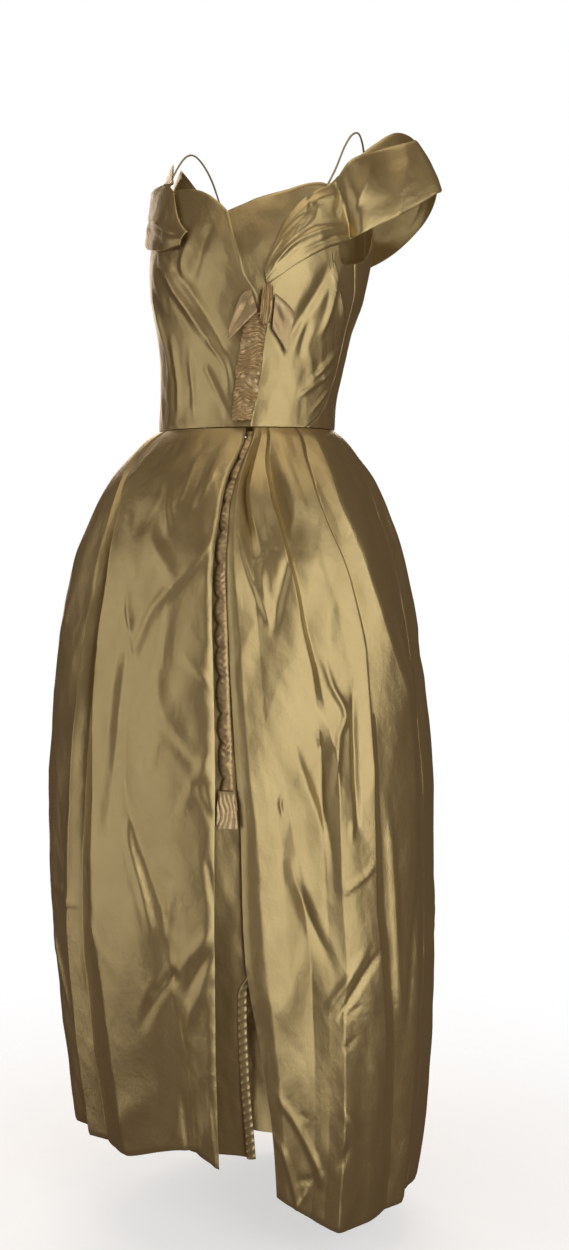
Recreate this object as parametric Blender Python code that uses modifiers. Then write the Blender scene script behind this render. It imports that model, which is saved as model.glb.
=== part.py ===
"""Evening gown: a wrapped off-the-shoulder bodice on a full, pleated, floor-length skirt.

Units are metres, +Z is up and the gown faces -Y, so +X is the wearer's left. The origin is the
centre of the waist seam. A place on the gown is an angle round it (degrees, 0 at the centre front,
+90 at the wearer's left side, 180 at the centre back) and a height. Both halves are smooth rings,
lofted; the skirt's pleats and flutes are a net of fold lines that run down it, and the bodice's
drapes are ridges laid on it. Every panel is an open surface with a wall added by Solidify.
"""
from math import atan2, cos, degrees, hypot, radians, sin

import bpy
from mathutils import Vector

# ---------------------------------------------------------------- driving dimensions
WALL = 0.0015               # satin with its interlining
SEAM_GAP = 0.0005           # between neighbouring panels at a seam
LAYER_GAP = 0.0008          # between a panel and what lies on it
WAIST_GAP = 0.0006          # from the waist seam's line to either cloth edge
SKIRT_LENGTH = 0.950        # waist seam to hem, down the straight
WRAP_LIFT = 0.0036          # how far the wrapped right front stands off the left front
WRAP_FADE = 50.0            # degrees over which that lift dies away
UNDERLAP = 11.0             # degrees that the left front runs on under the right front
STRAP_RADIUS = 0.00125      # rouleau shoulder strap
RUCHED_WALL = 0.0024        # gathered trimmings are thicker than plain cloth
SASH_DROP = (0.003, 0.428)  # the hanging strip's top and bottom below the waist
SASH_HALF_WIDTH = 0.0075
SASH_DEPTH = 0.0034         # how far behind the skirt's rings the strip hangs
SASH_END_DROP = (0.4290, 0.4720)
SASH_END_DEPTH = 0.0010
SASH_END_INSET = 0.25       # degrees from the opening's edges to the strip's end
UNDERLAY_DROP = (0.030, 0.872)
UNDERLAY_TUCK = 9.0         # degrees that the underlay runs on behind the right front
RUCHED_SWELL = 0.0012       # how much fuller the ruched band is down its middle
BOW_WALL = 0.0015
KNOT_WALL = 0.0030
BOW_LIFT = 0.0020           # the bow stands this far over the ruched band
LEFT_TAIL_LIFT = 0.0016     # and its left tail this far over the shoulder band
BAND_BULGE = 0.0040         # bow of the shoulder bands between their edges
COLLAR_BULGE = 0.0030
BODICE_RADIUS = 0.13        # mean radius: it turns an angle into a length round the bodice
TOP_OF_BODICE = 0.326       # above this nothing lies on the bodice
BACK_TOP = 0.272            # top edge of the bodice at the back

# ---------------------------------------------------------------- the smooth form
# height above the waist, half width, depth in front, depth behind, lean to the back
BODICE_RINGS = (
    (0.000, 0.1180, 0.101, 0.099, 0.000),
    (0.030, 0.1185, 0.101, 0.099, 0.004),
    (0.070, 0.1220, 0.106, 0.100, 0.012),
    (0.120, 0.1300, 0.118, 0.104, 0.022),
    (0.170, 0.1440, 0.134, 0.108, 0.034),
    (0.220, 0.1520, 0.140, 0.110, 0.042),
    (0.270, 0.1540, 0.130, 0.108, 0.048),
    (0.330, 0.1550, 0.112, 0.104, 0.055),
)
# drop below the waist, half width, depth in front, depth behind, sway to the wearer's left
SKIRT_RINGS = (
    (0.000, 0.118, 0.101, 0.099, 0.000),
    (0.012, 0.136, 0.112, 0.107, -0.003),
    (0.035, 0.156, 0.130, 0.121, -0.006),
    (0.065, 0.178, 0.149, 0.134, -0.008),
    (0.110, 0.198, 0.170, 0.147, -0.009),
    (0.170, 0.218, 0.194, 0.161, -0.009),
    (0.270, 0.235, 0.213, 0.174, -0.007),
    (0.420, 0.248, 0.226, 0.186, -0.005),
    (0.600, 0.249, 0.222, 0.192, -0.003),
    (0.740, 0.243, 0.206, 0.192, 0.000),
    (0.860, 0.232, 0.190, 0.192, 0.001),
    (0.950, 0.220, 0.176, 0.190, 0.001),
    (0.990, 0.216, 0.172, 0.188, 0.001),
)
# angle, length of the skirt there: it is a little shorter over the wearer's right front
HEM = (
    (-180, 0.985), (-160, 0.980), (-130, 0.955), (-90, 0.915), (-60, 0.897), (-36, 0.886),
    (-16, 0.886), (0, 0.868), (8, 0.868), (16, 0.880), (33, 0.912), (54, 0.954), (90, 0.950),
    (125, 0.952), (160, 0.980), (180, 0.985),
)

# ---------------------------------------------------------------- the skirt's fold lines
# Each line is (drop below the waist, angle, millimetres that the cloth stands off the rings).
RIGHT_FRONT_FOLDS = (
    ((0.00, -90, 0), (0.10, -94, -3), (0.30, -98, -4), (0.95, -98, -4)),
    ((0.00, -79, 0), (0.10, -82, 6), (0.30, -85, 7), (0.95, -86, 7)),
    ((0.00, -67, 0), (0.10, -68, -4), (0.30, -70, -5), (0.95, -72, -4)),
    ((0.00, -53, 0), (0.10, -50, 5), (0.30, -52, 7), (0.95, -57, 6)),
    ((0.00, -41, 0), (0.09, -34, -4), (0.20, -31, -5), (0.40, -36, -4), (0.60, -43, -3),
     (0.95, -46, -3)),
    ((0.00, -38.5, 1), (0.046, -36.5, 4), (0.10, -30, 6), (0.20, -26.5, 7), (0.30, -28, 7),
     (0.40, -30, 6), (0.50, -31.5, 6), (0.60, -34.5, 6), (0.72, -37, 6), (0.95, -36, 7)),
    ((0.00, -36, -1), (0.046, -34, -3), (0.118, -26, -6), (0.20, -22.5, -7), (0.26, -22.5, -7),
     (0.30, -24.5, -6), (0.40, -26, -5), (0.48, -27, -4), (0.60, -30, -3), (0.72, -31, -3),
     (0.95, -29, -2)),
    ((0.00, -33, 1), (0.046, -31, 5), (0.118, -23, 8), (0.20, -19.5, 8), (0.30, -21, 6),
     (0.38, -21, 4), (0.46, -19.5, 5), (0.55, -20, 7), (0.64, -20, 8), (0.72, -18, 9),
     (0.87, -16, 10), (0.95, -15, 10)),
    ((0.00, -20, 0), (0.10, -15, 4), (0.20, -13, 5), (0.30, -13, 4), (0.40, -14, 3),
     (0.47, -14, 2), (0.57, -10, 3), (0.65, -5, 3), (0.75, -5, 3), (0.95, -3, 3)),
    ((0.00, -8, 0), (0.10, -7, 3), (0.20, -7, 3), (0.35, -8, 1), (0.47, -9, -2), (0.57, -2, -4),
     (0.65, 3.5, -5), (0.75, 5, -5), (0.84, 7, -6), (0.95, 7.5, -6)),
    ((0.00, 8, 0), (0.10, 6, 4), (0.20, 5, 4), (0.35, 4, 2), (0.47, 5, 2), (0.57, 8, 1),
     (0.65, 10.5, 1), (0.75, 11, 1), (0.95, 12, 0)),
    ((0.00, 25.5, 1), (0.024, 24.5, 2), (0.068, 20, 3), (0.116, 18.6, 4), (0.19, 18, 4),
     (0.33, 19, 4), (0.44, 19.5, 4), (0.56, 18.8, 3), (0.68, 18, 3), (0.80, 16.6, 3),
     (0.95, 16, 4)),
)
LEFT_FRONT_FOLDS = (
    ((0.00, 29.5, 0), (0.024, 27.8, 0), (0.046, 25, 0), (0.078, 22.4, 0), (0.10, 21.4, 0),
     (0.14, 21.7, 0), (0.20, 22.2, 0), (0.27, 23, 0), (0.35, 24, 0), (0.43, 25, -1), (0.50, 26, -1),
     (0.67, 26.5, -1), (0.76, 29, -1), (0.86, 32, -1), (0.95, 33.5, -1)),
    ((0.00, 31, 1), (0.046, 26.8, 3), (0.08, 24.4, 3), (0.14, 24, 4), (0.21, 25.5, 5),
     (0.30, 27, 6), (0.40, 28.2, 6), (0.50, 30.5, 6), (0.62, 31.5, 6), (0.74, 33.5, 7),
     (0.95, 37, 5)),
    ((0.00, 33, 0), (0.045, 29, -3), (0.075, 27, -5), (0.10, 27.2, -6), (0.128, 28.8, -5),
     (0.16, 30, -2), (0.20, 31, 0), (0.30, 32.5, 2), (0.40, 34, 1), (0.50, 37, 0), (0.62, 38.5, 0),
     (0.74, 39, 1), (0.95, 40.5, 2)),
    ((0.00, 35, 1), (0.045, 31, 5), (0.075, 29, 8), (0.10, 29.4, 8), (0.128, 31, 6), (0.16, 33, 3),
     (0.20, 34.5, 3), (0.30, 36.5, 3), (0.39, 38, 1), (0.46, 39.5, -3), (0.55, 43, -4),
     (0.62, 45, -4), (0.70, 45, -2), (0.80, 45, 1), (0.95, 45, 2)),
    ((0.00, 37.5, 1), (0.056, 35.5, 7), (0.12, 38.8, 10), (0.18, 42.4, 9), (0.24, 44.6, 8),
     (0.29, 47, 6), (0.35, 48.5, 3), (0.40, 49.5, -2), (0.45, 49.5, -3), (0.55, 50, -2),
     (0.62, 50.5, 1), (0.70, 49.5, 4), (0.80, 49.5, 5), (0.95, 49, 6)),
    ((0.00, 39.5, -1), (0.056, 37.5, -4), (0.12, 41, -4), (0.18, 44.6, -3), (0.24, 46.8, -2),
     (0.29, 49.2, 0), (0.35, 51.2, 4), (0.40, 53, 7), (0.47, 53.5, 7), (0.55, 54, 5),
     (0.62, 55, 6), (0.69, 53.5, 8), (0.80, 53.5, 10), (0.87, 53.5, 12), (0.95, 53, 13)),
    ((0.00, 48, 0), (0.05, 47, 3), (0.10, 50, 5), (0.16, 53.5, 4), (0.23, 57, 4), (0.33, 59, 4),
     (0.45, 59.5, 6), (0.56, 60, 7), (0.64, 61.5, 6), (0.80, 63, 3), (0.95, 66, 2)),
    ((0.00, 56, 1), (0.05, 54.5, 5), (0.09, 55, 8), (0.16, 60.5, 9), (0.23, 64, 9), (0.33, 64.5, 9),
     (0.56, 65, 8), (0.64, 67, 6), (0.80, 70, 2), (0.95, 73, 0)),
    ((0.00, 59, -1), (0.05, 57.5, -3), (0.09, 58, -4), (0.16, 63.5, -4), (0.23, 67.5, -3),
     (0.33, 68.5, -4), (0.56, 70, -3), (0.64, 72, -2), (0.80, 76, -2), (0.95, 79, -2)),
    ((0.00, 67, 1), (0.09, 65, 5), (0.135, 68.5, 6), (0.23, 74, 7), (0.33, 83, 7), (0.39, 85, 4),
     (0.50, 85, 2), (0.70, 85, 4), (0.95, 87, 4)),
    ((0.00, 90, 0), (0.10, 94, -3), (0.30, 98, -4), (0.95, 98, -4)),
)
# the back halves: flutes alternate between the side seam and the centre back
BACK_FLUTES = 8
BACK_RIDGE_MM = 8.0
BACK_VALLEY_MM = -5.0
SIDE_SEAM = RIGHT_FRONT_FOLDS[0]

# share of the skirt's length at each row of points: closer together round the hips
SKIRT_ROWS = (0.0, 0.012, 0.032, 0.062, 0.10, 0.15, 0.21, 0.29, 0.38, 0.48, 0.585, 0.69, 0.795,
              0.90, 1.0)
FOLD_STEPS = 2              # points from one fold line to the next

# ---------------------------------------------------------------- the bodice's lines
# height, angle of the wrapped front's edge, from the waist to the point of the neck
WRAP_EDGE = ((0.000, 29), (0.040, 31), (0.070, 32), (0.100, 32.5), (0.130, 31), (0.160, 27),
             (0.188, 20), (0.212, 17), (0.244, 12), (0.275, 7.5), (0.330, 4))
SIDE_FRONT_SEAM = ((0.000, 66), (0.020, 80), (0.058, 90), (0.100, 93), (0.154, 88), (0.208, 80))
SIDE_BACK_SEAM = ((0.000, 124), (0.208, 128), (0.280, 130))
# angle, height of the top edge: neckline, shoulder, armhole and back
LEFT_TOP = ((-12, 0.250), (8, 0.274), (14, 0.280), (20, 0.287), (33, 0.297), (46, 0.307),
            (56, 0.304), (61, 0.280), (65, 0.240), (70, 0.210), (79, 0.209), (90, 0.219),
            (105, 0.252), (118, BACK_TOP), (180, BACK_TOP))
RIGHT_TOP = ((-8, 0.270), (-1, 0.286), (7, 0.300), (15, 0.308), (27, 0.313), (46, 0.312),
             (56, 0.304), (61, 0.280), (65, 0.240), (70, 0.210), (79, 0.209), (90, 0.219),
             (105, 0.252), (118, BACK_TOP), (180, BACK_TOP))
# the largest drapes: (angle, height) points, height of the ridge, half its width
DRAPES = (
    (((-34, 0.226), (-20, 0.176), (-5, 0.112)), 0.0040, 0.016),
    (((-2, 0.246), (-11, 0.190)), 0.0028, 0.014),
    (((30, 0.186), (37, 0.222), (47, 0.262)), 0.0032, 0.013),
    (((60, 0.180), (74, 0.120)), 0.0026, 0.014),
)
BODICE_ROWS = 10
PANEL_STEP = 6.5            # degrees from one column of points to the next

# ---------------------------------------------------------------- bands, trimmings and straps
# Bands are lofted from an upper to a lower edge; the first points are on the bodice (angle, height).
LEFT_BAND_ON_BODICE = (((29, 0.192), (31, 0.174)), ((34, 0.248), (45, 0.202)),
                       ((44, 0.288), (60, 0.224)), ((58, 0.311), (72, 0.236)))
LEFT_BAND_FREE = (
    ((0.150, 0.002, 0.338), (0.171, -0.006, 0.243)),
    ((0.172, 0.040, 0.356), (0.206, 0.030, 0.268)),
    ((0.203, 0.078, 0.372), (0.240, 0.073, 0.300)),
    ((0.198, 0.088, 0.374), (0.234, 0.089, 0.303)),
)
RIGHT_BAND_ON_BODICE = (((-11, 0.248), (-14, 0.230)), ((-19, 0.268), (-30, 0.230)),
                        ((-27, 0.306), (-54, 0.244)))
RIGHT_BAND_FREE = (
    ((-0.100, -0.020, 0.335), (-0.150, -0.008, 0.266)),
    ((-0.130, 0.030, 0.366), (-0.171, 0.032, 0.280)),
    ((-0.156, 0.070, 0.381), (-0.188, 0.072, 0.298)),
)
COLLAR = (
    ((0.132, -0.003, 0.318), (0.146, 0.001, 0.266)),
    ((0.160, 0.042, 0.362), (0.194, 0.045, 0.294)),
    ((0.180, 0.082, 0.386), (0.220, 0.086, 0.316)),
    ((0.194, 0.118, 0.374), (0.218, 0.120, 0.308)),
    ((0.168, 0.150, 0.346), (0.184, 0.150, 0.274)),
    ((0.105, 0.160, 0.314), (0.116, 0.158, 0.232)),
    ((0.000, 0.163, 0.297), (0.000, 0.160, 0.208)),
    ((-0.095, 0.156, 0.314), (-0.104, 0.154, 0.232)),
    ((-0.144, 0.142, 0.344), (-0.158, 0.142, 0.266)),
    ((-0.158, 0.110, 0.372), (-0.178, 0.110, 0.292)),
    ((-0.144, 0.072, 0.372), (-0.172, 0.076, 0.300)),
    ((-0.122, 0.036, 0.352), (-0.153, 0.038, 0.286)),
)
BAND_LIFT = 0.0042
BAND_ROWS = 4
LEFT_STRAP = ((0.1205, -0.0165, 0.296), (0.1285, 0.001, 0.328), (0.1290, 0.027, 0.362),
              (0.1260, 0.058, 0.385), (0.1240, 0.084, 0.389), (0.1180, 0.110, 0.366),
              (0.1080, 0.124, 0.322), (0.0975, 0.1235, 0.285), (0.0940, 0.1215, 0.262))
RIGHT_STRAP = ((-0.1110, -0.0260, 0.294), (-0.1190, -0.002, 0.322), (-0.1245, 0.026, 0.356),
               (-0.1260, 0.058, 0.385), (-0.1240, 0.084, 0.389), (-0.1180, 0.110, 0.366),
               (-0.1080, 0.124, 0.322), (-0.0975, 0.1235, 0.285), (-0.0940, 0.1215, 0.262))
# height and the two edge angles of the ruched band, then (angle, height) edge points of the bow
RUCHED_ANGLES = ((0.008, 17.0, 29.0), (0.040, 17.0, 31.0), (0.072, 17.5, 32.0),
                 (0.100, 19.0, 33.0), (0.140, 22.0, 33.0))
BOW_RIGHT_TAIL = (((23.4, 0.168), (27.6, 0.141)), ((18.5, 0.160), (21.8, 0.127)),
                  ((13.2, 0.122), (13.8, 0.107)))
BOW_LEFT_TAIL = (((35.2, 0.164), (36.2, 0.120)), ((41.0, 0.154), (42.0, 0.104)),
                 ((47.0, 0.141), (46.5, 0.090)))
BOW_KNOT = (((29.2, 0.172), (29.2, 0.130)), ((31.6, 0.176), (31.8, 0.124)),
            ((34.0, 0.172), (34.8, 0.128)))
# drop, angle of the underlay's free edge, and drop, how far behind the rings it hangs
UNDERLAY_EDGE = ((0.03, 27), (0.08, 24), (0.16, 24), (0.30, 28), (0.52, 31), (0.60, 29.5),
                 (0.67, 26), (0.76, 25.2), (0.872, 26.5))
UNDERLAY_DEPTH = ((0.03, 0.0085), (0.20, 0.0090), (0.50, 0.0110), (0.872, 0.0160))

OLIVE_GOLD = (0.376, 0.262, 0.107, 1.0)
PINK_GOLD = (0.352, 0.232, 0.132, 1.0)


# ---------------------------------------------------------------- curves and surfaces
def smooth(x, knots, column=1):
    """One column's value at x, on a smooth curve through the knots, whose first column is x."""
    x = min(max(x, knots[0][0]), knots[-1][0])
    last = len(knots) - 1
    i = 0
    while i < last - 1 and x > knots[i + 1][0]:
        i += 1

    def slope(k):
        low, high = max(k - 1, 0), min(k + 1, last)
        return (knots[high][column] - knots[low][column]) / (knots[high][0] - knots[low][0])

    step = knots[i + 1][0] - knots[i][0]
    t = (x - knots[i][0]) / step
    start, end = knots[i][column], knots[i + 1][column]
    return ((2 * t**3 - 3 * t**2 + 1) * start + (t**3 - 2 * t**2 + t) * step * slope(i)
            + (3 * t**2 - 2 * t**3) * end + (t**3 - t**2) * step * slope(i + 1))


def mix(start, end, share):
    return start + (end - start) * share


def ring_point(angle, half_width, front, back, middle, height, off=0.0):
    """A point of an oval ring whose front and back halves differ, moved off it in plan."""
    s, c = sin(radians(angle)), cos(radians(angle))
    depth = front if c > 0 else back
    outward = Vector((depth * s, -half_width * c, 0.0)).normalized()
    return Vector((middle[0] + half_width * s, middle[1] - depth * c, height)) + outward * off


def skirt_point(angle, drop, off=0.0):
    half_width, front, back, sway = [smooth(drop, SKIRT_RINGS, k) for k in (1, 2, 3, 4)]
    return ring_point(angle, half_width, front, back, (sway, 0.0), -drop, off)


def lifted(surface, angle, height, off, lift):
    """A surface's point, moved off it by lift along the surface's own normal."""
    across = surface(angle + 1.0, height, off) - surface(angle - 1.0, height, off)
    along = surface(angle, height + 0.004, off) - surface(angle, height - 0.004, off)
    normal = across.cross(along).normalized()
    if normal.dot(surface(angle, height, off + 0.01) - surface(angle, height, off)) < 0:
        normal = -normal
    return surface(angle, height, off) + normal * lift


def drape(angle, height):
    """How far the bodice's drapes stand off its rings: soft ridges that die away at their ends."""
    here = Vector((BODICE_RADIUS * radians(angle), height))
    total = 0.0
    for points, rise, half_width in DRAPES:
        line = [Vector((BODICE_RADIUS * radians(a), z)) for a, z in points]
        for k, (start, end) in enumerate(zip(line, line[1:])):
            share = (here - start).dot(end - start) / (end - start).length_squared
            share = min(max(share, 0.0), 1.0)
            distance = (here - mix(start, end, share)).length / half_width
            if distance < 1.0:
                total = max(total, rise * (1 - distance**2)**2)
    return total


def bodice_point(angle, height, lift=0.0):
    half_width, front, back, lean = [smooth(height, BODICE_RINGS, k) for k in (1, 2, 3, 4)]
    off = drape(angle, height) + lift
    return ring_point(angle, half_width, front, back, (0.0, lean), height, off)


def wrap_lift(angle, height):
    """The wrapped front's stand-off, full at its edge and gone WRAP_FADE degrees back from it."""
    share = min(max((smooth(height, WRAP_EDGE) - angle) / WRAP_FADE, 0.0), 1.0)
    return WRAP_LIFT * (1 - share**2 * (3 - 2 * share))


def stand_off(point, lift):
    """Push a point straight out until it is lift away from the bodice, if it is beside it."""
    if point.z > TOP_OF_BODICE:
        return point
    half_width, front, back, lean = [smooth(point.z, BODICE_RINGS, k) for k in (1, 2, 3, 4)]
    depth = front if point.y < lean else back
    u, v = point.x / half_width, (point.y - lean) / depth
    face = bodice_point(degrees(atan2(u, -v)), point.z, lift)
    reach = hypot(face.x / half_width, (face.y - lean) / depth)
    return face if hypot(u, v) < reach else point


# ---------------------------------------------------------------- making the objects
def satin(name, colour, roughness):
    material = bpy.data.materials.new(name)
    material.use_nodes = True
    shader = material.node_tree.nodes["Principled BSDF"]
    shader.inputs["Base Color"].default_value = colour
    shader.inputs["Roughness"].default_value = roughness
    shader.inputs["Metallic"].default_value = 0.0
    return material


def place(name, data, material):
    thing = bpy.data.objects.new(name, data)
    data.materials.append(material)
    bpy.data.collections["evening_gown"].objects.link(thing)
    return thing


def panel(name, rows, colour, wall=WALL, roughness=0.38):
    """A wall whose outer face runs through the rows of points, top row first, left to right."""
    width = len(rows[0])
    points = [p for row in rows for p in row]
    faces = []
    for i in range(len(rows) - 1):
        for j in range(width - 1):
            a = i * width + j
            faces.append((a, a + width, a + width + 1, a + 1))
    mesh = bpy.data.meshes.new(name)
    mesh.from_pydata(points, [], faces)
    mesh.shade_smooth()
    thing = place(name, mesh, satin(name + "_satin", colour, roughness))
    thickness = thing.modifiers.new("Wall", "SOLIDIFY")
    thickness.thickness = wall
    thickness.offset = -1.0
    return thing


def fold_angles(folds, drop):
    """Angle and stand-off of every column of points of a skirt panel at one drop."""
    lines = [(smooth(drop, line, 1), smooth(drop, line, 2) / 1000) for line in folds]
    columns = []
    for (angle, off), (next_angle, next_off) in zip(lines, lines[1:]):
        for k in range(FOLD_STEPS):
            share = k / FOLD_STEPS
            columns.append((mix(angle, next_angle, share), mix(off, next_off, share)))
    columns.append(lines[-1])
    return columns


def skirt_panel(name, folds, seam_left, seam_right):
    """A quarter of the skirt; a seam side stops half a seam gap short of the seam's line."""
    rows = []
    for share in SKIRT_ROWS:
        columns = fold_angles(folds, share * SKIRT_LENGTH)
        row = []
        for k, (angle, off) in enumerate(columns):
            drop = WAIST_GAP + share * (smooth((angle + 180) % 360 - 180, HEM) - WAIST_GAP)
            half_gap = degrees(SEAM_GAP / 2 / smooth(drop, SKIRT_RINGS, 1))
            if k == 0 and seam_left:
                angle += half_gap
            if k == len(columns) - 1 and seam_right:
                angle -= half_gap
            row.append(skirt_point(angle, drop, off))
        rows.append(row)
    return panel(name, rows, OLIVE_GOLD)


def back_folds(side):
    """Fold lines from the side seam (side 1: the wearer's left) to the centre back."""
    lines = []
    for k in range(BACK_FLUTES + 1):
        share = k / BACK_FLUTES
        depth = BACK_VALLEY_MM if k % 2 == 0 else BACK_RIDGE_MM
        line = []
        for drop, seam_angle, seam_off in SIDE_SEAM:
            angle = mix(-seam_angle, 180.0, share)
            rise = min(drop / 0.10, 1.0)
            off = seam_off if k == 0 else depth * rise
            line.append((drop, side * angle, off))
        lines.append(tuple(line))
    return tuple(lines) if side > 0 else tuple(reversed(lines))


def bodice_panel(name, left, right, top, lift):
    """A bodice panel between two edge lines (height to angle) and a top edge (angle to height)."""
    middle = 0.12
    count = max(3, round((right(middle) - left(middle)) / PANEL_STEP))
    rows = []
    tops = []
    for j in range(count + 1):
        low, high = 0.10, 0.34
        for _ in range(24):
            height = (low + high) / 2
            if height < top(mix(left(height), right(height), j / count)):
                low = height
            else:
                high = height
        tops.append(low)
    for i in range(BODICE_ROWS + 1):
        share = 1 - i / BODICE_ROWS
        row = []
        for j in range(count + 1):
            height = WAIST_GAP + share * (tops[j] - WAIST_GAP)
            angle = mix(left(height), right(height), j / count)
            row.append(bodice_point(angle, height, lift(angle, height)))
        rows.append(row)
    return panel(name, rows, OLIVE_GOLD)


def bodice():
    half_gap = degrees(SEAM_GAP / 2 / BODICE_RADIUS)

    def flat(angle, height):
        return 0.0

    def left_top(angle):
        return smooth(angle, LEFT_TOP)

    def right_top(angle):
        return smooth(-angle, RIGHT_TOP)

    def side_front(height):
        return smooth(height, SIDE_FRONT_SEAM)

    def side_back(height):
        return smooth(height, SIDE_BACK_SEAM)

    bodice_panel("bodice_front_right", lambda z: half_gap - side_front(z),
                 lambda z: smooth(z, WRAP_EDGE), right_top, wrap_lift)
    bodice_panel("bodice_front_left", lambda z: smooth(z, WRAP_EDGE) - UNDERLAP,
                 lambda z: side_front(z) - half_gap, left_top, flat)
    bodice_panel("bodice_side_left", lambda z: side_front(z) + half_gap,
                 lambda z: side_back(z) - half_gap, left_top, flat)
    bodice_panel("bodice_back_left", lambda z: side_back(z) + half_gap,
                 lambda z: 180 - half_gap, left_top, flat)
    bodice_panel("bodice_side_right", lambda z: half_gap - side_back(z),
                 lambda z: -side_front(z) - half_gap, right_top, flat)
    bodice_panel("bodice_back_right", lambda z: half_gap - 180,
                 lambda z: -side_back(z) - half_gap, right_top, flat)


def band(pairs, stations, bulge, lift):
    """A band between an upper and a lower edge, bowed out between them and clear of the bodice."""
    edges = [[(k, *pair[edge]) for k, pair in enumerate(pairs)] for edge in (0, 1)]
    rows = []
    for i in range(BAND_ROWS + 1):
        share = i / BAND_ROWS
        row = []
        for j in range(stations + 1):
            at = j / stations * (len(pairs) - 1)
            upper, lower = [Vector([smooth(at, edge, c) for c in (1, 2, 3)]) for edge in edges]
            point = mix(upper, lower, share)
            outward = Vector((point.x, point.y - 0.06, 0.0)).normalized()
            point = point + outward * bulge * 4 * share * (1 - share)
            row.append(stand_off(point, lift))
        rows.append(row)
    return rows


def bands():
    def on_bodice(pair):
        return tuple(tuple(bodice_point(angle, height, BAND_LIFT)) for angle, height in pair)

    left = tuple(on_bodice(pair) for pair in LEFT_BAND_ON_BODICE) + LEFT_BAND_FREE
    right = tuple(on_bodice(pair) for pair in RIGHT_BAND_ON_BODICE) + RIGHT_BAND_FREE
    panel("shoulder_band_left", band(left, 14, BAND_BULGE, BAND_LIFT), OLIVE_GOLD)
    rows = band(right, 12, BAND_BULGE, BAND_LIFT + WRAP_LIFT)
    panel("shoulder_band_right", [list(reversed(row)) for row in rows], OLIVE_GOLD)
    panel("collar_back", band(COLLAR, 26, COLLAR_BULGE, BAND_LIFT), OLIVE_GOLD)


def straps():
    for name, points in (("strap_left", LEFT_STRAP), ("strap_right", RIGHT_STRAP)):
        curve = bpy.data.curves.new(name, "CURVE")
        curve.dimensions = "3D"
        curve.bevel_depth = STRAP_RADIUS
        curve.bevel_resolution = 1
        curve.use_fill_caps = True
        route = [(k, *point) for k, point in enumerate(points)]
        steps = 2 * (len(route) - 1)
        spline = curve.splines.new("POLY")
        spline.points.add(steps)
        for k, point in enumerate(spline.points):
            point.co = [smooth(k / 2, route, column) for column in (1, 2, 3)] + [1.0]
        place(name, curve, satin(name + "_satin", OLIVE_GOLD, 0.40))


def trimming(name, pairs, stations, lift, wall, bulge):
    """A small piece on the bodice, lofted across its pairs of (angle, height) edge points."""
    edges = [[(k, *pair[edge]) for k, pair in enumerate(pairs)] for edge in (0, 1)]
    rows = []
    for i in range(4):
        share = i / 3
        row = []
        for j in range(stations + 1):
            at = j / stations * (len(pairs) - 1)
            upper, lower = [[smooth(at, edge, c) for c in (1, 2)] for edge in edges]
            angle = mix(upper[0], lower[0], share)
            height = mix(upper[1], lower[1], share)
            swell = bulge * 4 * share * (1 - share)
            base = wrap_lift(angle, height) if angle < smooth(height, WRAP_EDGE) + 3 else 0.0
            row.append(bodice_point(angle, height, base + lift + swell + wall))
        rows.append(row)
    return panel(name, rows, PINK_GOLD, wall, 0.45)


def bow_and_ruching():
    rows = []
    for i in range(9):
        height = mix(RUCHED_ANGLES[-1][0], RUCHED_ANGLES[0][0], i / 8)
        left, right = smooth(height, RUCHED_ANGLES, 1), smooth(height, RUCHED_ANGLES, 2)
        row = []
        for j in range(5):
            angle = mix(left, right, j / 4)
            swell = RUCHED_SWELL * (1 - (j / 2 - 1)**2)
            off = WRAP_LIFT + LAYER_GAP + RUCHED_WALL + swell
            row.append(bodice_point(angle, height, off))
        rows.append(row)
    panel("ruched_band", rows, PINK_GOLD, RUCHED_WALL, 0.5)
    above = WRAP_LIFT + LAYER_GAP + RUCHED_WALL + BOW_LIFT
    tail = list(reversed(BOW_RIGHT_TAIL))
    trimming("bow_tail_right", tail, 4, above, BOW_WALL, BOW_WALL)
    trimming("bow_tail_left", BOW_LEFT_TAIL, 4, BAND_LIFT + LEFT_TAIL_LIFT, BOW_WALL, BOW_WALL)
    trimming("bow_knot", BOW_KNOT, 4, above, KNOT_WALL, KNOT_WALL)


def opening_trims():
    """The hanging strip, its end and the underlay, all behind the skirt's front opening."""
    def opening_edges(drop):
        return smooth(drop, RIGHT_FRONT_FOLDS[-1]), smooth(drop, LEFT_FRONT_FOLDS[0])

    def strip(name, drops, count, edges, depth, wall, colour):
        rows = []
        for i in range(count + 1):
            drop = mix(drops[0], drops[1], i / count)
            low, high = edges(drop)
            row = []
            for j in range(4):
                angle = mix(low, high, j / 3)
                row.append(lifted(skirt_point, angle, drop, 0.0, -depth(drop)))
            rows.append(row)
        panel(name, rows, colour, wall, 0.45)

    def sash_edges(drop):
        low, high = opening_edges(drop)
        half = degrees(SASH_HALF_WIDTH / smooth(drop, SKIRT_RINGS, 1))
        return (low + high) / 2 - half, (low + high) / 2 + half

    def end_edges(drop):
        low, high = opening_edges(drop)
        return low + SASH_END_INSET, high - SASH_END_INSET

    def underlay_edges(drop):
        low, high = opening_edges(drop)
        return low - UNDERLAY_TUCK, smooth(drop, UNDERLAY_EDGE)

    strip("sash_strip", SASH_DROP, 18, sash_edges, lambda drop: SASH_DEPTH, RUCHED_WALL,
          PINK_GOLD)
    strip("sash_end", SASH_END_DROP, 3, end_edges, lambda drop: SASH_END_DEPTH, RUCHED_WALL,
          PINK_GOLD)
    strip("skirt_underlay", UNDERLAY_DROP, 14, underlay_edges,
          lambda drop: smooth(drop, UNDERLAY_DEPTH), WALL, OLIVE_GOLD)


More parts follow.
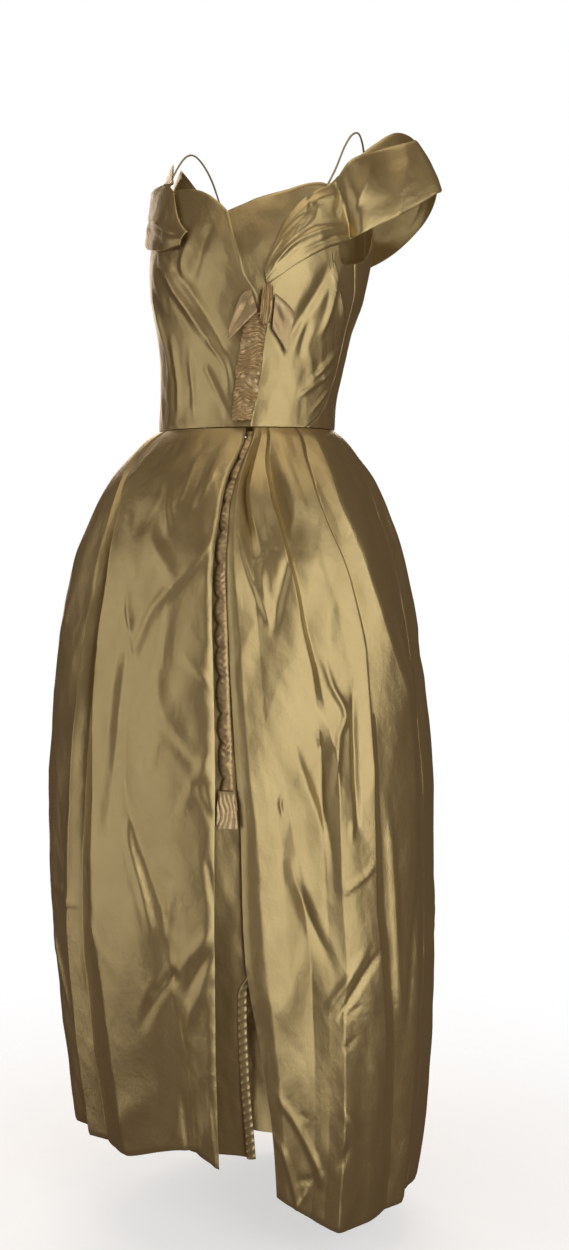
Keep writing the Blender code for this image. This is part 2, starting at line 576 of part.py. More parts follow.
def main():
    for thing in list(bpy.data.objects):
        bpy.data.objects.remove(thing)
    gown = bpy.data.collections.new("evening_gown")
    bpy.context.scene.collection.children.link(gown)
    skirt_panel("skirt_front_right", RIGHT_FRONT_FOLDS, True, False)
    skirt_panel("skirt_front_left", LEFT_FRONT_FOLDS, False, True)
    skirt_panel("skirt_back_left", back_folds(1), True, True)
    skirt_panel("skirt_back_right", back_folds(-1), True, True)
    bodice()
    bands()
    straps()
    bow_and_ruching()
    opening_trims()


main()
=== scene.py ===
"""Evening gown, dressed for show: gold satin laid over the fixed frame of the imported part.

Units are metres, +Z is up and the gown faces -Y, so +X is the wearer's left. A place on the gown
is an angle round it (degrees, 0 at the centre front, +90 at the wearer's left side) and a height
above the waist seam, or a drop below it. Every cloth panel is a grid of points on the smooth form
of its half of the gown, moved out by the panel's fold lines and its creases, and given a wall.
"""
from math import cos, pi, radians, sin
from random import Random

import bmesh
import bpy
import numpy as np
from bpy.props import FloatProperty, FloatVectorProperty, PointerProperty
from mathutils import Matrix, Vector, noise


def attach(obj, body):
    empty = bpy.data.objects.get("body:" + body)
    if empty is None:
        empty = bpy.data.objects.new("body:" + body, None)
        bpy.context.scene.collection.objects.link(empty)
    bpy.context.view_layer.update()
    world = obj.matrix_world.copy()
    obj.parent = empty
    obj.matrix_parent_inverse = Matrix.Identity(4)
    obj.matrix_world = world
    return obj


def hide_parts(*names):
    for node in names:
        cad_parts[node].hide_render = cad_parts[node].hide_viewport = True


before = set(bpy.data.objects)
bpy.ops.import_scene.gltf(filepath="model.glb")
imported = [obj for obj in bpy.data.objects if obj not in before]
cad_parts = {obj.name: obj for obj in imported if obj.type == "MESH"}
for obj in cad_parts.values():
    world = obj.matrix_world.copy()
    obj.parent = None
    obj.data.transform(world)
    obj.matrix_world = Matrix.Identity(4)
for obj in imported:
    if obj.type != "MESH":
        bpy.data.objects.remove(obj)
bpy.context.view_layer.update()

bl_info = {
    "name": "Evening gown",
    "version": (1, 0, 0),
    "blender": (4, 5, 0),
    "location": "3D View > Sidebar > Gown",
    "description": "Makes the satin of a wrapped evening gown, piece by piece, over its frame",
    "category": "Object",
}

# ---------------------------------------------------------------- the smooth form
# height above the waist, half width, depth in front, depth behind, lean to the back
BODICE_RINGS = (
    (0.000, 0.1180, 0.101, 0.099, 0.000),
    (0.030, 0.1185, 0.101, 0.099, 0.004),
    (0.070, 0.1220, 0.106, 0.100, 0.012),
    (0.120, 0.1300, 0.118, 0.104, 0.022),
    (0.170, 0.1440, 0.134, 0.108, 0.034),
    (0.220, 0.1520, 0.140, 0.110, 0.042),
    (0.270, 0.1540, 0.130, 0.108, 0.048),
    (0.330, 0.1550, 0.112, 0.104, 0.055),
)
# drop below the waist, half width, depth in front, depth behind, sway to the wearer's left
SKIRT_RINGS = (
    (0.000, 0.118, 0.101, 0.099, 0.000),
    (0.012, 0.136, 0.112, 0.107, -0.003),
    (0.035, 0.156, 0.130, 0.121, -0.006),
    (0.065, 0.178, 0.149, 0.134, -0.008),
    (0.110, 0.198, 0.170, 0.147, -0.009),
    (0.170, 0.218, 0.194, 0.161, -0.009),
    (0.270, 0.235, 0.213, 0.174, -0.007),
    (0.420, 0.248, 0.226, 0.186, -0.005),
    (0.600, 0.249, 0.222, 0.192, -0.003),
    (0.740, 0.243, 0.206, 0.192, 0.000),
    (0.860, 0.232, 0.190, 0.192, 0.001),
    (0.950, 0.220, 0.176, 0.190, 0.001),
    (0.990, 0.216, 0.172, 0.188, 0.001),
)
# angle, length of the skirt there: it is a little shorter over the wearer's right front
HEM = (
    (-180, 0.985), (-160, 0.980), (-130, 0.955), (-90, 0.915), (-60, 0.897), (-36, 0.886),
    (-16, 0.886), (0, 0.868), (8, 0.868), (16, 0.880), (33, 0.912), (54, 0.954), (90, 0.950),
    (125, 0.952), (160, 0.980), (180, 0.985),
)
SKIRT_LENGTH = 0.950        # waist seam to hem, down the straight
SKIRT_RADIUS = 0.235        # mean radii: they turn an angle into a length across the cloth
BODICE_RADIUS = 0.140
SEAM_RADIUS = 0.130         # where a bodice seam's gap is turned into degrees
SEAM_GAP = 0.0001           # between two panels sewn together
WAIST_GAP = 0.0006          # from the waist line to the cloth above and below it
LAYER_GAP = 0.0008          # between a panel and what lies on it
WRAP_LIFT = 0.0036          # how far the wrapped right front stands off the left front
WRAP_FADE = 50.0            # degrees over which that lift dies away
UNDERLAP = 11.0             # degrees that the left front runs on under the right front
TOP_OF_BODICE = 0.326
BACK_TOP = 0.272
BAND_LIFT = 0.0042
BAND_STEP = 0.036           # between two stations of a band
BAND_WIDTH = 0.075
EDGE_CROWDING = 1.6         # how the grid's columns crowd towards a skirt panel's edges
HEM_CROWDING = 1.25         # and its rows towards the waist
FREE_EDGE_CALM = 0.45       # share of the fold's depth at the left front's free edge

# ---------------------------------------------------------------- the skirt's fold lines
# Each line is how crisply the cloth turns there (0 round, 1 sharp, more is pinched) and knots of
# (drop below the waist, angle, millimetres that the cloth stands off the rings).
RIGHT_FRONT_FOLDS = (
    (0.6, ((0.00, -90, 0), (0.10, -94, -3), (0.30, -98, -4), (0.95, -98, -4))),
    (0.5, ((0.00, -79, 0), (0.10, -82, 6), (0.30, -85, 7), (0.95, -86, 7))),
    (0.3, ((0.00, -67, 0), (0.10, -68, -4), (0.30, -70, -5), (0.95, -72, -4))),
    (0.7, ((0.00, -53, 0), (0.10, -50, 5), (0.30, -52, 7), (0.95, -57, 6))),
    (0.4, ((0.00, -41, 0), (0.09, -34, -4), (0.20, -31, -5), (0.40, -36, -4), (0.60, -43, -3),
           (0.95, -46, -3))),
    (1.2, ((0.00, -38.5, 1), (0.046, -36.5, 4), (0.10, -30, 6), (0.20, -26.5, 7), (0.30, -28, 7),
           (0.40, -30, 6), (0.50, -31.5, 6), (0.60, -34.5, 6), (0.72, -37, 6), (0.95, -36, 7))),
    (1.4, ((0.00, -36, -1), (0.046, -34, -3), (0.118, -26, -6), (0.20, -22.5, -7),
           (0.26, -22.5, -7), (0.30, -24.5, -6), (0.40, -26, -5), (0.48, -27, -4),
           (0.60, -30, -3), (0.72, -31, -3), (0.95, -29, -2))),
    (1.2, ((0.00, -33, 1), (0.046, -31, 5), (0.118, -23, 8), (0.20, -19.5, 8), (0.30, -21, 6),
           (0.38, -21, 4), (0.46, -19.5, 5), (0.55, -20, 7), (0.64, -20, 8), (0.72, -18, 9),
           (0.87, -16, 10), (0.95, -15, 10))),
    (0.2, ((0.00, -20, 0), (0.10, -15, 4), (0.20, -13, 5), (0.30, -13, 4), (0.40, -14, 3),
           (0.47, -14, 2), (0.57, -10, 3), (0.65, -5, 3), (0.75, -5, 3), (0.95, -3, 3))),
    (1.1, ((0.00, -8, 0), (0.10, -7, 3), (0.20, -7, 3), (0.35, -8, 1), (0.47, -9, -2),
           (0.57, -2, -4), (0.65, 3.5, -5), (0.75, 5, -5), (0.84, 7, -6), (0.95, 7.5, -6))),
    (0.3, ((0.00, 8, 0), (0.10, 6, 4), (0.20, 5, 4), (0.35, 4, 2), (0.47, 5, 2), (0.57, 8, 1),
           (0.65, 10.5, 1), (0.75, 11, 1), (0.95, 12, 0))),
    (0.4, ((0.00, 25.5, 1), (0.024, 24.5, 2), (0.068, 20, 3), (0.116, 18.6, 4), (0.19, 18, 4),
           (0.33, 19, 4), (0.44, 19.5, 4), (0.56, 18.8, 3), (0.68, 18, 3), (0.80, 16.6, 3),
           (0.95, 16, 4))),
)
LEFT_FRONT_FOLDS = (
    (0.5, ((0.00, 29.5, 0), (0.024, 27.8, 0), (0.046, 25, 0), (0.078, 22.4, 0), (0.10, 21.4, 0),
           (0.14, 21.7, 0), (0.20, 22.2, 0), (0.27, 23, 0), (0.35, 24, 0), (0.43, 25, -1),
           (0.50, 26, -1), (0.67, 26.5, -1), (0.76, 29, -1), (0.86, 32, -1), (0.95, 33.5, -1))),
    (0.7, ((0.00, 31, 1), (0.046, 26.8, 3), (0.08, 24.4, 3), (0.14, 24, 4), (0.21, 25.5, 5),
           (0.30, 27, 6), (0.40, 28.2, 6), (0.50, 30.5, 6), (0.62, 31.5, 6), (0.74, 33.5, 7),
           (0.95, 37, 5))),
    (1.2, ((0.00, 33, 0), (0.045, 29, -3), (0.075, 27, -5), (0.10, 27.2, -6), (0.128, 28.8, -5),
           (0.16, 30, -2), (0.20, 31, 0), (0.30, 32.5, 2), (0.40, 34, 1), (0.50, 37, 0),
           (0.62, 38.5, 0), (0.74, 39, 1), (0.95, 40.5, 2))),
    (1.0, ((0.00, 35, 1), (0.045, 31, 5), (0.075, 29, 8), (0.10, 29.4, 8), (0.128, 31, 6),
           (0.16, 33, 3), (0.20, 34.5, 3), (0.30, 36.5, 3), (0.39, 38, 1), (0.46, 39.5, -3),
           (0.55, 43, -4), (0.62, 45, -4), (0.70, 45, -2), (0.80, 45, 1), (0.95, 45, 2))),
    (0.9, ((0.00, 37.5, 1), (0.056, 35.5, 7), (0.12, 38.8, 10), (0.18, 42.4, 9), (0.24, 44.6, 8),
           (0.29, 47, 6), (0.35, 48.5, 3), (0.40, 49.5, -2), (0.45, 49.5, -3), (0.55, 50, -2),
           (0.62, 50.5, 1), (0.70, 49.5, 4), (0.80, 49.5, 5), (0.95, 49, 6))),
    (1.2, ((0.00, 39.5, -1), (0.056, 37.5, -4), (0.12, 41, -4), (0.18, 44.6, -3),
           (0.24, 46.8, -2), (0.29, 49.2, 0), (0.35, 51.2, 4), (0.40, 53, 7), (0.47, 53.5, 7),
           (0.55, 54, 5), (0.62, 55, 6), (0.69, 53.5, 8), (0.80, 53.5, 10), (0.87, 53.5, 12),
           (0.95, 53, 13))),
    (0.2, ((0.00, 48, 0), (0.05, 47, 3), (0.10, 50, 5), (0.16, 53.5, 4), (0.23, 57, 4),
           (0.33, 59, 4), (0.45, 59.5, 6), (0.56, 60, 7), (0.64, 61.5, 6), (0.80, 63, 3),
           (0.95, 66, 2))),
    (0.8, ((0.00, 56, 1), (0.05, 54.5, 5), (0.09, 55, 8), (0.16, 60.5, 9), (0.23, 64, 9),
           (0.33, 64.5, 9), (0.56, 65, 8), (0.64, 67, 6), (0.80, 70, 2), (0.95, 73, 0))),
    (1.1, ((0.00, 59, -1), (0.05, 57.5, -3), (0.09, 58, -4), (0.16, 63.5, -4), (0.23, 67.5, -3),
           (0.33, 68.5, -4), (0.56, 70, -3), (0.64, 72, -2), (0.80, 76, -2), (0.95, 79, -2))),
    (0.8, ((0.00, 67, 1), (0.09, 65, 5), (0.135, 68.5, 6), (0.23, 74, 7), (0.33, 83, 7),
           (0.39, 85, 4), (0.50, 85, 2), (0.70, 85, 4), (0.95, 87, 4))),
    (0.6, ((0.00, 90, 0), (0.10, 94, -3), (0.30, 98, -4), (0.95, 98, -4))),
)
BACK_FLUTES = 8
BACK_RIDGE_MM = 8.0
BACK_SWAY_DEG = 3.6         # how far a flute strays to either side
BACK_VALLEY_MM = -5.0
BACK_CREASES = 22

# ---------------------------------------------------------------- creases
# Each crease is how far it reaches to its left and right in millimetres, and knots of (angle,
# drop or height, millimetres that it stands up), from the top down. Below nought it is a trough.
RIGHT_FRONT_CREASES = (
    (7, 9, ((-10.5, 0.200, 0), (-9.5, 0.225, 1.6), (-6.5, 0.262, 1.2), (-5.5, 0.285, 0))),
    (12, 22, ((-8.5, 0.250, 0), (-10.5, 0.311, -2.2), (-12, 0.375, -2.6), (-14, 0.443, -2),
              (-15.5, 0.500, 0))),
    (14, 13, ((21, 0.128, 0), (15, 0.149, 1.6), (7, 0.189, 2.2), (-0.5, 0.219, 2.6),
              (-4.5, 0.255, 2.2), (-6.5, 0.282, 0))),
    (14, 7, ((-3, 0.068, 0), (-2.2, 0.095, 2), (0.5, 0.119, 1.8), (2, 0.140, 0))),
    (16, 16, ((-7, 0.090, 0), (-9, 0.115, -2.2), (-12, 0.140, 0))),
    (16, 18, ((-7.5, 0.128, 0), (-2, 0.150, 1.6), (3, 0.173, 1.8), (6.5, 0.200, 0))),
    (10, 9, ((5.5, 0.025, 0), (4, 0.060, 1.6), (2.5, 0.090, 1.3), (1, 0.108, 0))),
    (12, 12, ((10, 0.035, 0), (9.5, 0.060, -1.6), (8, 0.090, -1.5), (6.5, 0.115, 0))),
    (10, 9, ((16, 0.042, 0), (12.5, 0.068, 1.6), (10.5, 0.088, 1.3), (9.5, 0.102, 0))),
    (9, 10, ((5.5, 0.200, 0), (4.8, 0.235, 1.8), (4, 0.265, 1.8), (3.5, 0.292, 0))),
    (8, 8, ((9, 0.268, 0), (13, 0.285, 1), (16.5, 0.299, 1.2), (20, 0.318, 0.4))),
    (14, 20, ((4, 0.272, 0), (2.5, 0.300, 2), (3.5, 0.335, 2.2), (8.5, 0.370, 1.6),
              (12, 0.395, 0))),
    (10, 12, ((4, 0.350, 0), (7, 0.370, -1.6), (12, 0.395, -1.4), (16, 0.410, 0))),
    (10, 12, ((19.5, 0.372, 0), (16, 0.400, 1.6), (11.5, 0.441, 1.4), (9, 0.465, 0))),
    (10, 8, ((13.5, 0.405, 0), (16.5, 0.440, -1.8), (19, 0.472, 0))),
    (5, 6, ((-26, 0.525, 0), (-25, 0.543, 1.2), (-20.5, 0.609, 1), (-19, 0.635, 0))),
    (9, 8, ((-8, 0.465, 0), (-7, 0.499, 2), (-4, 0.537, 2.2), (-1.5, 0.577, 1.4), (0, 0.610, 0))),
    (10, 14, ((7, 0.640, 0), (3.2, 0.657, -3), (-2.5, 0.691, -2.4), (-6.5, 0.725, 0))),
    (13, 16, ((19, 0.583, 0), (15, 0.605, 1.8), (9, 0.633, 2), (5.5, 0.655, 0.5))),
    (10, 10, ((18.5, 0.608, 0), (15.5, 0.625, -1.8), (11, 0.655, -1.6), (8.5, 0.680, 0))),
    (12, 14, ((16.5, 0.632, 0), (13, 0.668, 1.8), (9, 0.700, 1.6), (7, 0.740, 0))),
    (8, 7, ((16.5, 0.498, 0), (17.3, 0.520, -1.5), (18, 0.545, -1.2), (18.3, 0.565, 0))),
    (10, 10, ((6.5, 0.535, 0), (5.5, 0.565, 1.5), (4, 0.600, 1.2), (3.5, 0.620, 0))),
    (5, 5, ((13.5, 0.775, 0), (14, 0.815, 1.3), (14.4, 0.850, 1), (14.8, 0.885, 0.6))),
    (5, 6, ((4, 0.780, 0), (4.8, 0.815, -1.4), (5.2, 0.850, -1.8), (5.5, 0.885, -1.5))),
    (6, 7, ((-53.5, 0.630, 0), (-53, 0.660, 1.6), (-51, 0.720, 1.4), (-50, 0.750, 0))),
    (10, 12, ((-56, 0.580, 0), (-45, 0.588, 1.4), (-35, 0.590, 1), (-31, 0.592, 0))),
    (12, 14, ((-62, 0.150, 0), (-60, 0.230, 2), (-61, 0.330, 2.2), (-63, 0.420, 0))),
    (14, 12, ((-76, 0.300, 0), (-74, 0.400, -2), (-77, 0.520, -2.2), (-79, 0.640, 0))),
)
LEFT_FRONT_CREASES = (
    (4, 5, ((30.5, 0.168, 0), (32, 0.164, -1.6), (35.5, 0.156, -1.8), (40.5, 0.157, 0))),
    (5, 4, ((33, 0.150, 0), (36, 0.147, 1.3), (39, 0.150, 0))),
    (6, 14, ((25, 0.125, 0), (26.5, 0.140, 1.8), (30, 0.181, 2.3), (34, 0.221, 1.6),
             (35.5, 0.245, 0))),
    (12, 8, ((42.5, 0.145, 0), (41.5, 0.165, -2), (39.5, 0.191, -2.3), (37, 0.229, -1.8),
             (36, 0.255, 0))),
    (8, 8, ((33, 0.165, 0), (33.5, 0.190, 1.4), (34.5, 0.222, 0))),
    (24, 9, ((41, 0.372, 0), (43, 0.400, 2.6), (46.5, 0.440, 3.4), (49, 0.475, 3),
             (50, 0.520, 1.6), (50, 0.580, 0))),
    (6, 8, ((51, 0.272, 0), (53.2, 0.310, 2.2), (56.5, 0.341, 3), (54, 0.368, 2.4),
            (52.7, 0.411, 1.5), (52, 0.440, 0))),
    (4, 4, ((48.2, 0.358, 0), (49, 0.373, -1.7), (49.8, 0.385, 0))),
    (7, 7, ((59.8, 0.312, 0), (59.4, 0.350, -2.2), (59, 0.400, -2.6), (59, 0.455, -2),
            (59, 0.478, 0))),
    (12, 8, ((79, 0.190, 0), (84, 0.250, 2.6), (89.5, 0.330, 2.4), (91.5, 0.368, 0))),
    (4, 4, ((37.8, 0.430, 0), (37.2, 0.445, -1.5), (38, 0.459, 0))),
    (5, 5, ((59, 0.461, 0), (57, 0.475, 1.3), (57.5, 0.489, 0))),
    (6, 6, ((65.5, 0.511, 0), (61.5, 0.529, 1.9), (56.5, 0.541, 1.5), (54, 0.550, 0))),
    (16, 12, ((39, 0.500, 0), (41.5, 0.537, -2.2), (46, 0.585, -2.4), (50.5, 0.627, -1.2),
              (52, 0.650, 0))),
    (6, 8, ((67.5, 0.616, 0), (60.5, 0.647, -2.6), (54, 0.681, -2.2), (52, 0.697, 0))),
    (8, 8, ((63, 0.608, 0), (57, 0.640, 1.7), (51, 0.672, 1.5), (49, 0.690, 0))),
    (5, 5, ((59.5, 0.680, 0), (55.5, 0.690, -2), (51.5, 0.699, 0))),
    (5, 5, ((58, 0.718, 0), (55, 0.726, -1.6), (52.5, 0.731, 0))),
    (10, 14, ((52, 0.800, 0), (56.5, 0.823, 2.2), (59, 0.842, 0))),
    (12, 10, ((57, 0.842, 0), (54, 0.862, -2), (52.5, 0.882, 0))),
    (7, 9, ((32.5, 0.770, 0), (34.5, 0.790, 1.2), (38, 0.811, 1.8), (43.5, 0.853, 2),
            (47, 0.887, 1.5), (47.5, 0.902, 0))),
    (6, 8, ((31, 0.812, 0), (33, 0.838, 1.2), (36, 0.862, 1.6), (39, 0.905, 1.8),
            (40, 0.925, 0.8))),
    (5, 6, ((47.5, 0.886, 0.6), (43, 0.889, -1.6), (38.5, 0.891, 0))),
    (5, 6, ((44.5, 0.897, 0), (42, 0.912, 1.4), (39, 0.930, 1))),
    (8, 10, ((28.8, 0.700, 0), (30, 0.745, 1.4), (31.5, 0.790, 1.2), (33.5, 0.830, 0))),
    (6, 5, ((43.5, 0.816, 0), (41.5, 0.810, -1.1), (40, 0.806, 0))),
    (9, 12, ((72, 0.430, 0), (74, 0.520, 2), (75, 0.620, 1.8), (77, 0.720, 0))),
    (10, 10, ((88, 0.480, 0), (86, 0.560, -1.8), (82, 0.650, -1.6), (80, 0.740, 0))),
)
BODICE_CREASES = (
    (14, 9, ((-36, 0.228, 0), (-27, 0.198, 3), (-20.5, 0.174, 3.6), (-13, 0.152, 3.4),
             (-5, 0.126, 3), (3, 0.103, 2.2), (10, 0.074, 0))),
    (9, 16, ((-28, 0.226, 0), (-17, 0.190, -2.2), (-9, 0.166, -2.6), (-1, 0.138, -2.2),
             (6, 0.110, -1.4), (10, 0.095, 0))),
    (12, 16, ((-9, 0.258, 0), (-11.5, 0.237, 2.4), (-14.5, 0.208, 2.6), (-17, 0.185, 0))),
    (14, 12, ((1, 0.260, 0), (-2, 0.238, -2), (-5.5, 0.205, -2.2), (-8, 0.182, 0))),
    (9, 9, ((-1, 0.112, 0), (2, 0.104, 1.8), (9.5, 0.084, 2), (13, 0.058, 1.2), (14, 0.035, 0))),
    (8, 9, ((-3, 0.082, 0), (-1, 0.071, 1.5), (4.5, 0.051, 1.8), (11.5, 0.025, 1),
            (13, 0.012, 0))),
    (10, 10, ((-14, 0.105, 0), (-13, 0.070, 1.4), (-11, 0.035, 1.2), (-10, 0.008, 0))),
    (12, 12, ((-32, 0.125, 0), (-27, 0.080, 1.8), (-25, 0.040, 1.3), (-25, 0.010, 0))),
    (10, 12, ((-50, 0.200, 0), (-44, 0.150, 2), (-38, 0.100, 1.6), (-36, 0.060, 0))),
    (20, 14, ((63, 0.208, 0), (61, 0.185, -2.4), (54, 0.145, -2.8), (47, 0.109, -2.2),
              (44, 0.088, 0))),
    (10, 8, ((66.5, 0.202, 0), (68.5, 0.178, 2.6), (70, 0.140, 2.6), (68, 0.112, 0))),
    (7, 7, ((69, 0.178, 0), (76, 0.160, 1.6), (82, 0.142, 1), (86, 0.133, 0))),
    (12, 12, ((58, 0.142, 0), (57, 0.115, -2), (55, 0.086, 0))),
    (13, 13, ((30, 0.176, 0), (33, 0.200, 2), (37, 0.222, 3), (42, 0.244, 3), (48, 0.266, 0))),
    (9, 10, ((91, 0.110, 0), (80, 0.086, 2.2), (69, 0.063, 1.4), (63, 0.050, 0))),
    (7, 7, ((90, 0.080, 0), (76, 0.062, 2.1), (62, 0.044, 1.2), (57, 0.038, 0))),
    (6, 6, ((88, 0.057, 0), (80, 0.040, 1.8), (72.5, 0.025, 0.8), (69, 0.018, 0))),
)
# These are the same on both sides of the gown.
BODICE_SIDE_CREASES = (
    (9, 9, ((104, 0.190, 0), (102, 0.130, 1.6), (106, 0.070, 1.4), (108, 0.030, 0))),
    (12, 10, ((146, 0.170, 0), (150, 0.110, 1.8), (158, 0.060, 1.6), (164, 0.020, 0))),
    (10, 10, ((140, 0.080, 0), (136, 0.050, 1.6), (134, 0.020, 0))),
)
# The same on the left shoulder band: (station along it, share across it, millimetres).
LEFT_BAND_CREASES = (
    (7, 8, ((2.15, 0.02, -1), (1.95, 0.25, -2.2), (1.7, 0.36, -2.4), (1, 0.33, -2), (0.3, 0.2, 0))),
    (8, 8, ((3.05, 0, -0.8), (3, 0.27, -2.2), (2.75, 0.44, -1.8), (2.5, 0.58, 0))),
    (9, 8, ((0.4, 0.5, 0.5), (1.4, 0.58, 2), (2.3, 0.7, 1.8), (3, 0.76, 0))),
    (9, 9, ((0.5, 0.1, 0.5), (1.3, 0.12, 1.8), (2.2, 0.15, 1.4), (2.9, 0.2, 0))),
    (7, 7, ((1, 0.82, 0), (2, 0.86, -1.4), (3, 0.9, -1), (3.6, 0.92, 0))),
    (9, 12, ((4.1, 0.62, 0), (3.6, 0.72, -2), (3.1, 0.86, -1.6), (2.8, 0.93, 0))),
    (16, 14, ((5.6, 0, 1.5), (5.4, 0.35, 2.4), (5.1, 0.7, 2.2), (4.9, 1, 1))),
    (12, 12, ((4.6, 0.1, 0), (4.4, 0.3, 1.6), (4, 0.5, 1.2), (3.6, 0.55, 0))),
)
RIGHT_BAND_CREASES = (
    (8, 9, ((0.4, 0.3, 0), (1.2, 0.42, 2), (2, 0.5, 1.8), (2.8, 0.5, 0))),
    (8, 8, ((1, 0.75, 0), (1.8, 0.7, -1.6), (2.8, 0.72, -1.2), (3.4, 0.75, 0))),
    (12, 12, ((3.4, 0.1, 0), (3.8, 0.35, 1.8), (4.2, 0.65, 1.4), (4.6, 0.8, 0))),
)

# ---------------------------------------------------------------- the bodice's lines
WRAP_EDGE = ((0.000, 29), (0.040, 31), (0.070, 32), (0.100, 32.5), (0.130, 31), (0.160, 27),
             (0.188, 20), (0.212, 17), (0.244, 12), (0.275, 7.5), (0.330, 4))
SIDE_FRONT_SEAM = ((0.000, 66), (0.020, 80), (0.058, 90), (0.100, 93), (0.154, 88), (0.208, 80))
SIDE_BACK_SEAM = ((0.000, 124), (0.208, 128), (0.280, 130))
ARMHOLE = ((56, 0.304), (61, 0.280), (65, 0.240), (70, 0.210), (79, 0.209), (90, 0.219),
           (105, 0.252), (118, BACK_TOP), (180, BACK_TOP))
LEFT_TOP = ((-12, 0.250), (8, 0.274), (14, 0.280), (20, 0.287), (33, 0.297),
            (46, 0.307)) + ARMHOLE
RIGHT_TOP = ((-8, 0.270), (-1, 0.286), (7, 0.300), (15, 0.308), (27, 0.313),
             (46, 0.312)) + ARMHOLE

# ---------------------------------------------------------------- bands, trimmings and straps
# Bands run from an upper to a lower edge; the first points are on the bodice (angle, height).
LEFT_BAND_ON_BODICE = (((29, 0.192), (31, 0.174)), ((34, 0.248), (45, 0.202)),
                       ((44, 0.288), (60, 0.224)), ((58, 0.311), (72, 0.236)))
LEFT_BAND_FREE = (
    ((0.150, 0.002, 0.338), (0.171, -0.006, 0.243)),
    ((0.172, 0.040, 0.356), (0.206, 0.030, 0.268)),
    ((0.203, 0.078, 0.372), (0.240, 0.073, 0.300)),
    ((0.198, 0.088, 0.374), (0.234, 0.089, 0.303)),
)
RIGHT_BAND_ON_BODICE = (((-11, 0.248), (-14, 0.230)), ((-19, 0.268), (-30, 0.230)),
                        ((-27, 0.306), (-54, 0.244)))
RIGHT_BAND_FREE = (
    ((-0.100, -0.020, 0.335), (-0.150, -0.008, 0.266)),
    ((-0.130, 0.030, 0.366), (-0.171, 0.032, 0.280)),
    ((-0.156, 0.070, 0.381), (-0.188, 0.072, 0.298)),
)
COLLAR = (
    ((0.132, -0.003, 0.318), (0.146, 0.001, 0.266)),
    ((0.160, 0.042, 0.362), (0.194, 0.045, 0.294)),
    ((0.180, 0.082, 0.386), (0.220, 0.086, 0.316)),
    ((0.194, 0.118, 0.374), (0.218, 0.120, 0.308)),
    ((0.168, 0.150, 0.346), (0.184, 0.150, 0.274)),
    ((0.105, 0.160, 0.314), (0.116, 0.158, 0.232)),
    ((0.000, 0.163, 0.297), (0.000, 0.160, 0.208)),
    ((-0.095, 0.156, 0.314), (-0.104, 0.154, 0.232)),
    ((-0.144, 0.142, 0.344), (-0.158, 0.142, 0.266)),
    ((-0.158, 0.110, 0.372), (-0.178, 0.110, 0.292)),
    ((-0.144, 0.072, 0.372), (-0.172, 0.076, 0.300)),
    ((-0.122, 0.036, 0.352), (-0.153, 0.038, 0.286)),
)
STRAP_RADIUS = 0.00125
STRAP_BEHIND = ((0.1260, 0.058, 0.385), (0.1240, 0.084, 0.389), (0.1180, 0.110, 0.366),
                (0.1080, 0.124, 0.322), (0.0975, 0.1235, 0.285), (0.0940, 0.1215, 0.262))
LEFT_STRAP = ((0.1205, -0.0165, 0.296), (0.1285, 0.001, 0.328),
              (0.1290, 0.027, 0.362)) + STRAP_BEHIND
RIGHT_STRAP = ((-0.1110, -0.0260, 0.294), (-0.1190, -0.002, 0.322),
               (-0.1245, 0.026, 0.356)) + tuple((-x, y, z) for x, y, z in STRAP_BEHIND)
RUCHED_ANGLES = ((0.008, 17.0, 29.0), (0.040, 17.0, 31.0), (0.072, 17.5, 32.0),
                 (0.100, 19.0, 33.0), (0.140, 22.0, 33.0))
BOW_RIGHT_TAIL = (((13.2, 0.122), (13.8, 0.107)), ((18.5, 0.160), (21.8, 0.127)),
                  ((23.4, 0.168), (27.6, 0.141)))
BOW_LEFT_TAIL = (((35.2, 0.164), (36.2, 0.120)), ((41.0, 0.154), (42.0, 0.104)),
                 ((47.0, 0.141), (46.5, 0.090)))
BOW_KNOT = (((29.2, 0.172), (29.2, 0.130)), ((31.6, 0.176), (31.8, 0.124)),
            ((34.0, 0.172), (34.8, 0.128)))
SASH_DROP = (0.003, 0.428)
SASH_HALF_WIDTH = 0.0075
SASH_END_DROP = (0.4290, 0.4720)
UNDERLAY_DROP = (0.030, 0.872)
UNDERLAY_EDGE = ((0.03, 27), (0.08, 24), (0.16, 24), (0.30, 28), (0.52, 31), (0.60, 29.5),
                 (0.67, 26), (0.76, 25.2), (0.872, 26.5))
UNDERLAY_DEPTH = ((0.03, 0.0085), (0.20, 0.0090), (0.50, 0.0110), (0.872, 0.0160))
UNDERLAY_TUCK = 9.0         # degrees that it runs on under the right front
FACING_DROP = (0.642, 0.872)
FACING_WIDTH = 0.012
FACING_WALL = 0.0012
RUCHE_PITCH = 0.0120        # from one ruche of the band to the next
FINE_PITCH = 0.0036         # and of the fine lines between them
STRIP_PITCH = 0.0076        # from one gather of the hung strip to the next
LOBE_PITCH = 0.034          # from one scallop of its edge to the next
FACING_PITCH = 0.0095
WAIST_STITCHES = ((-52, 16, 60), (48, 64, 20))     # first and last angle, places between them
STITCH_HEIGHT = 0.0032
FLOOR_HEIGHT = -1.0
FLOOR_RADIUS = 3.0


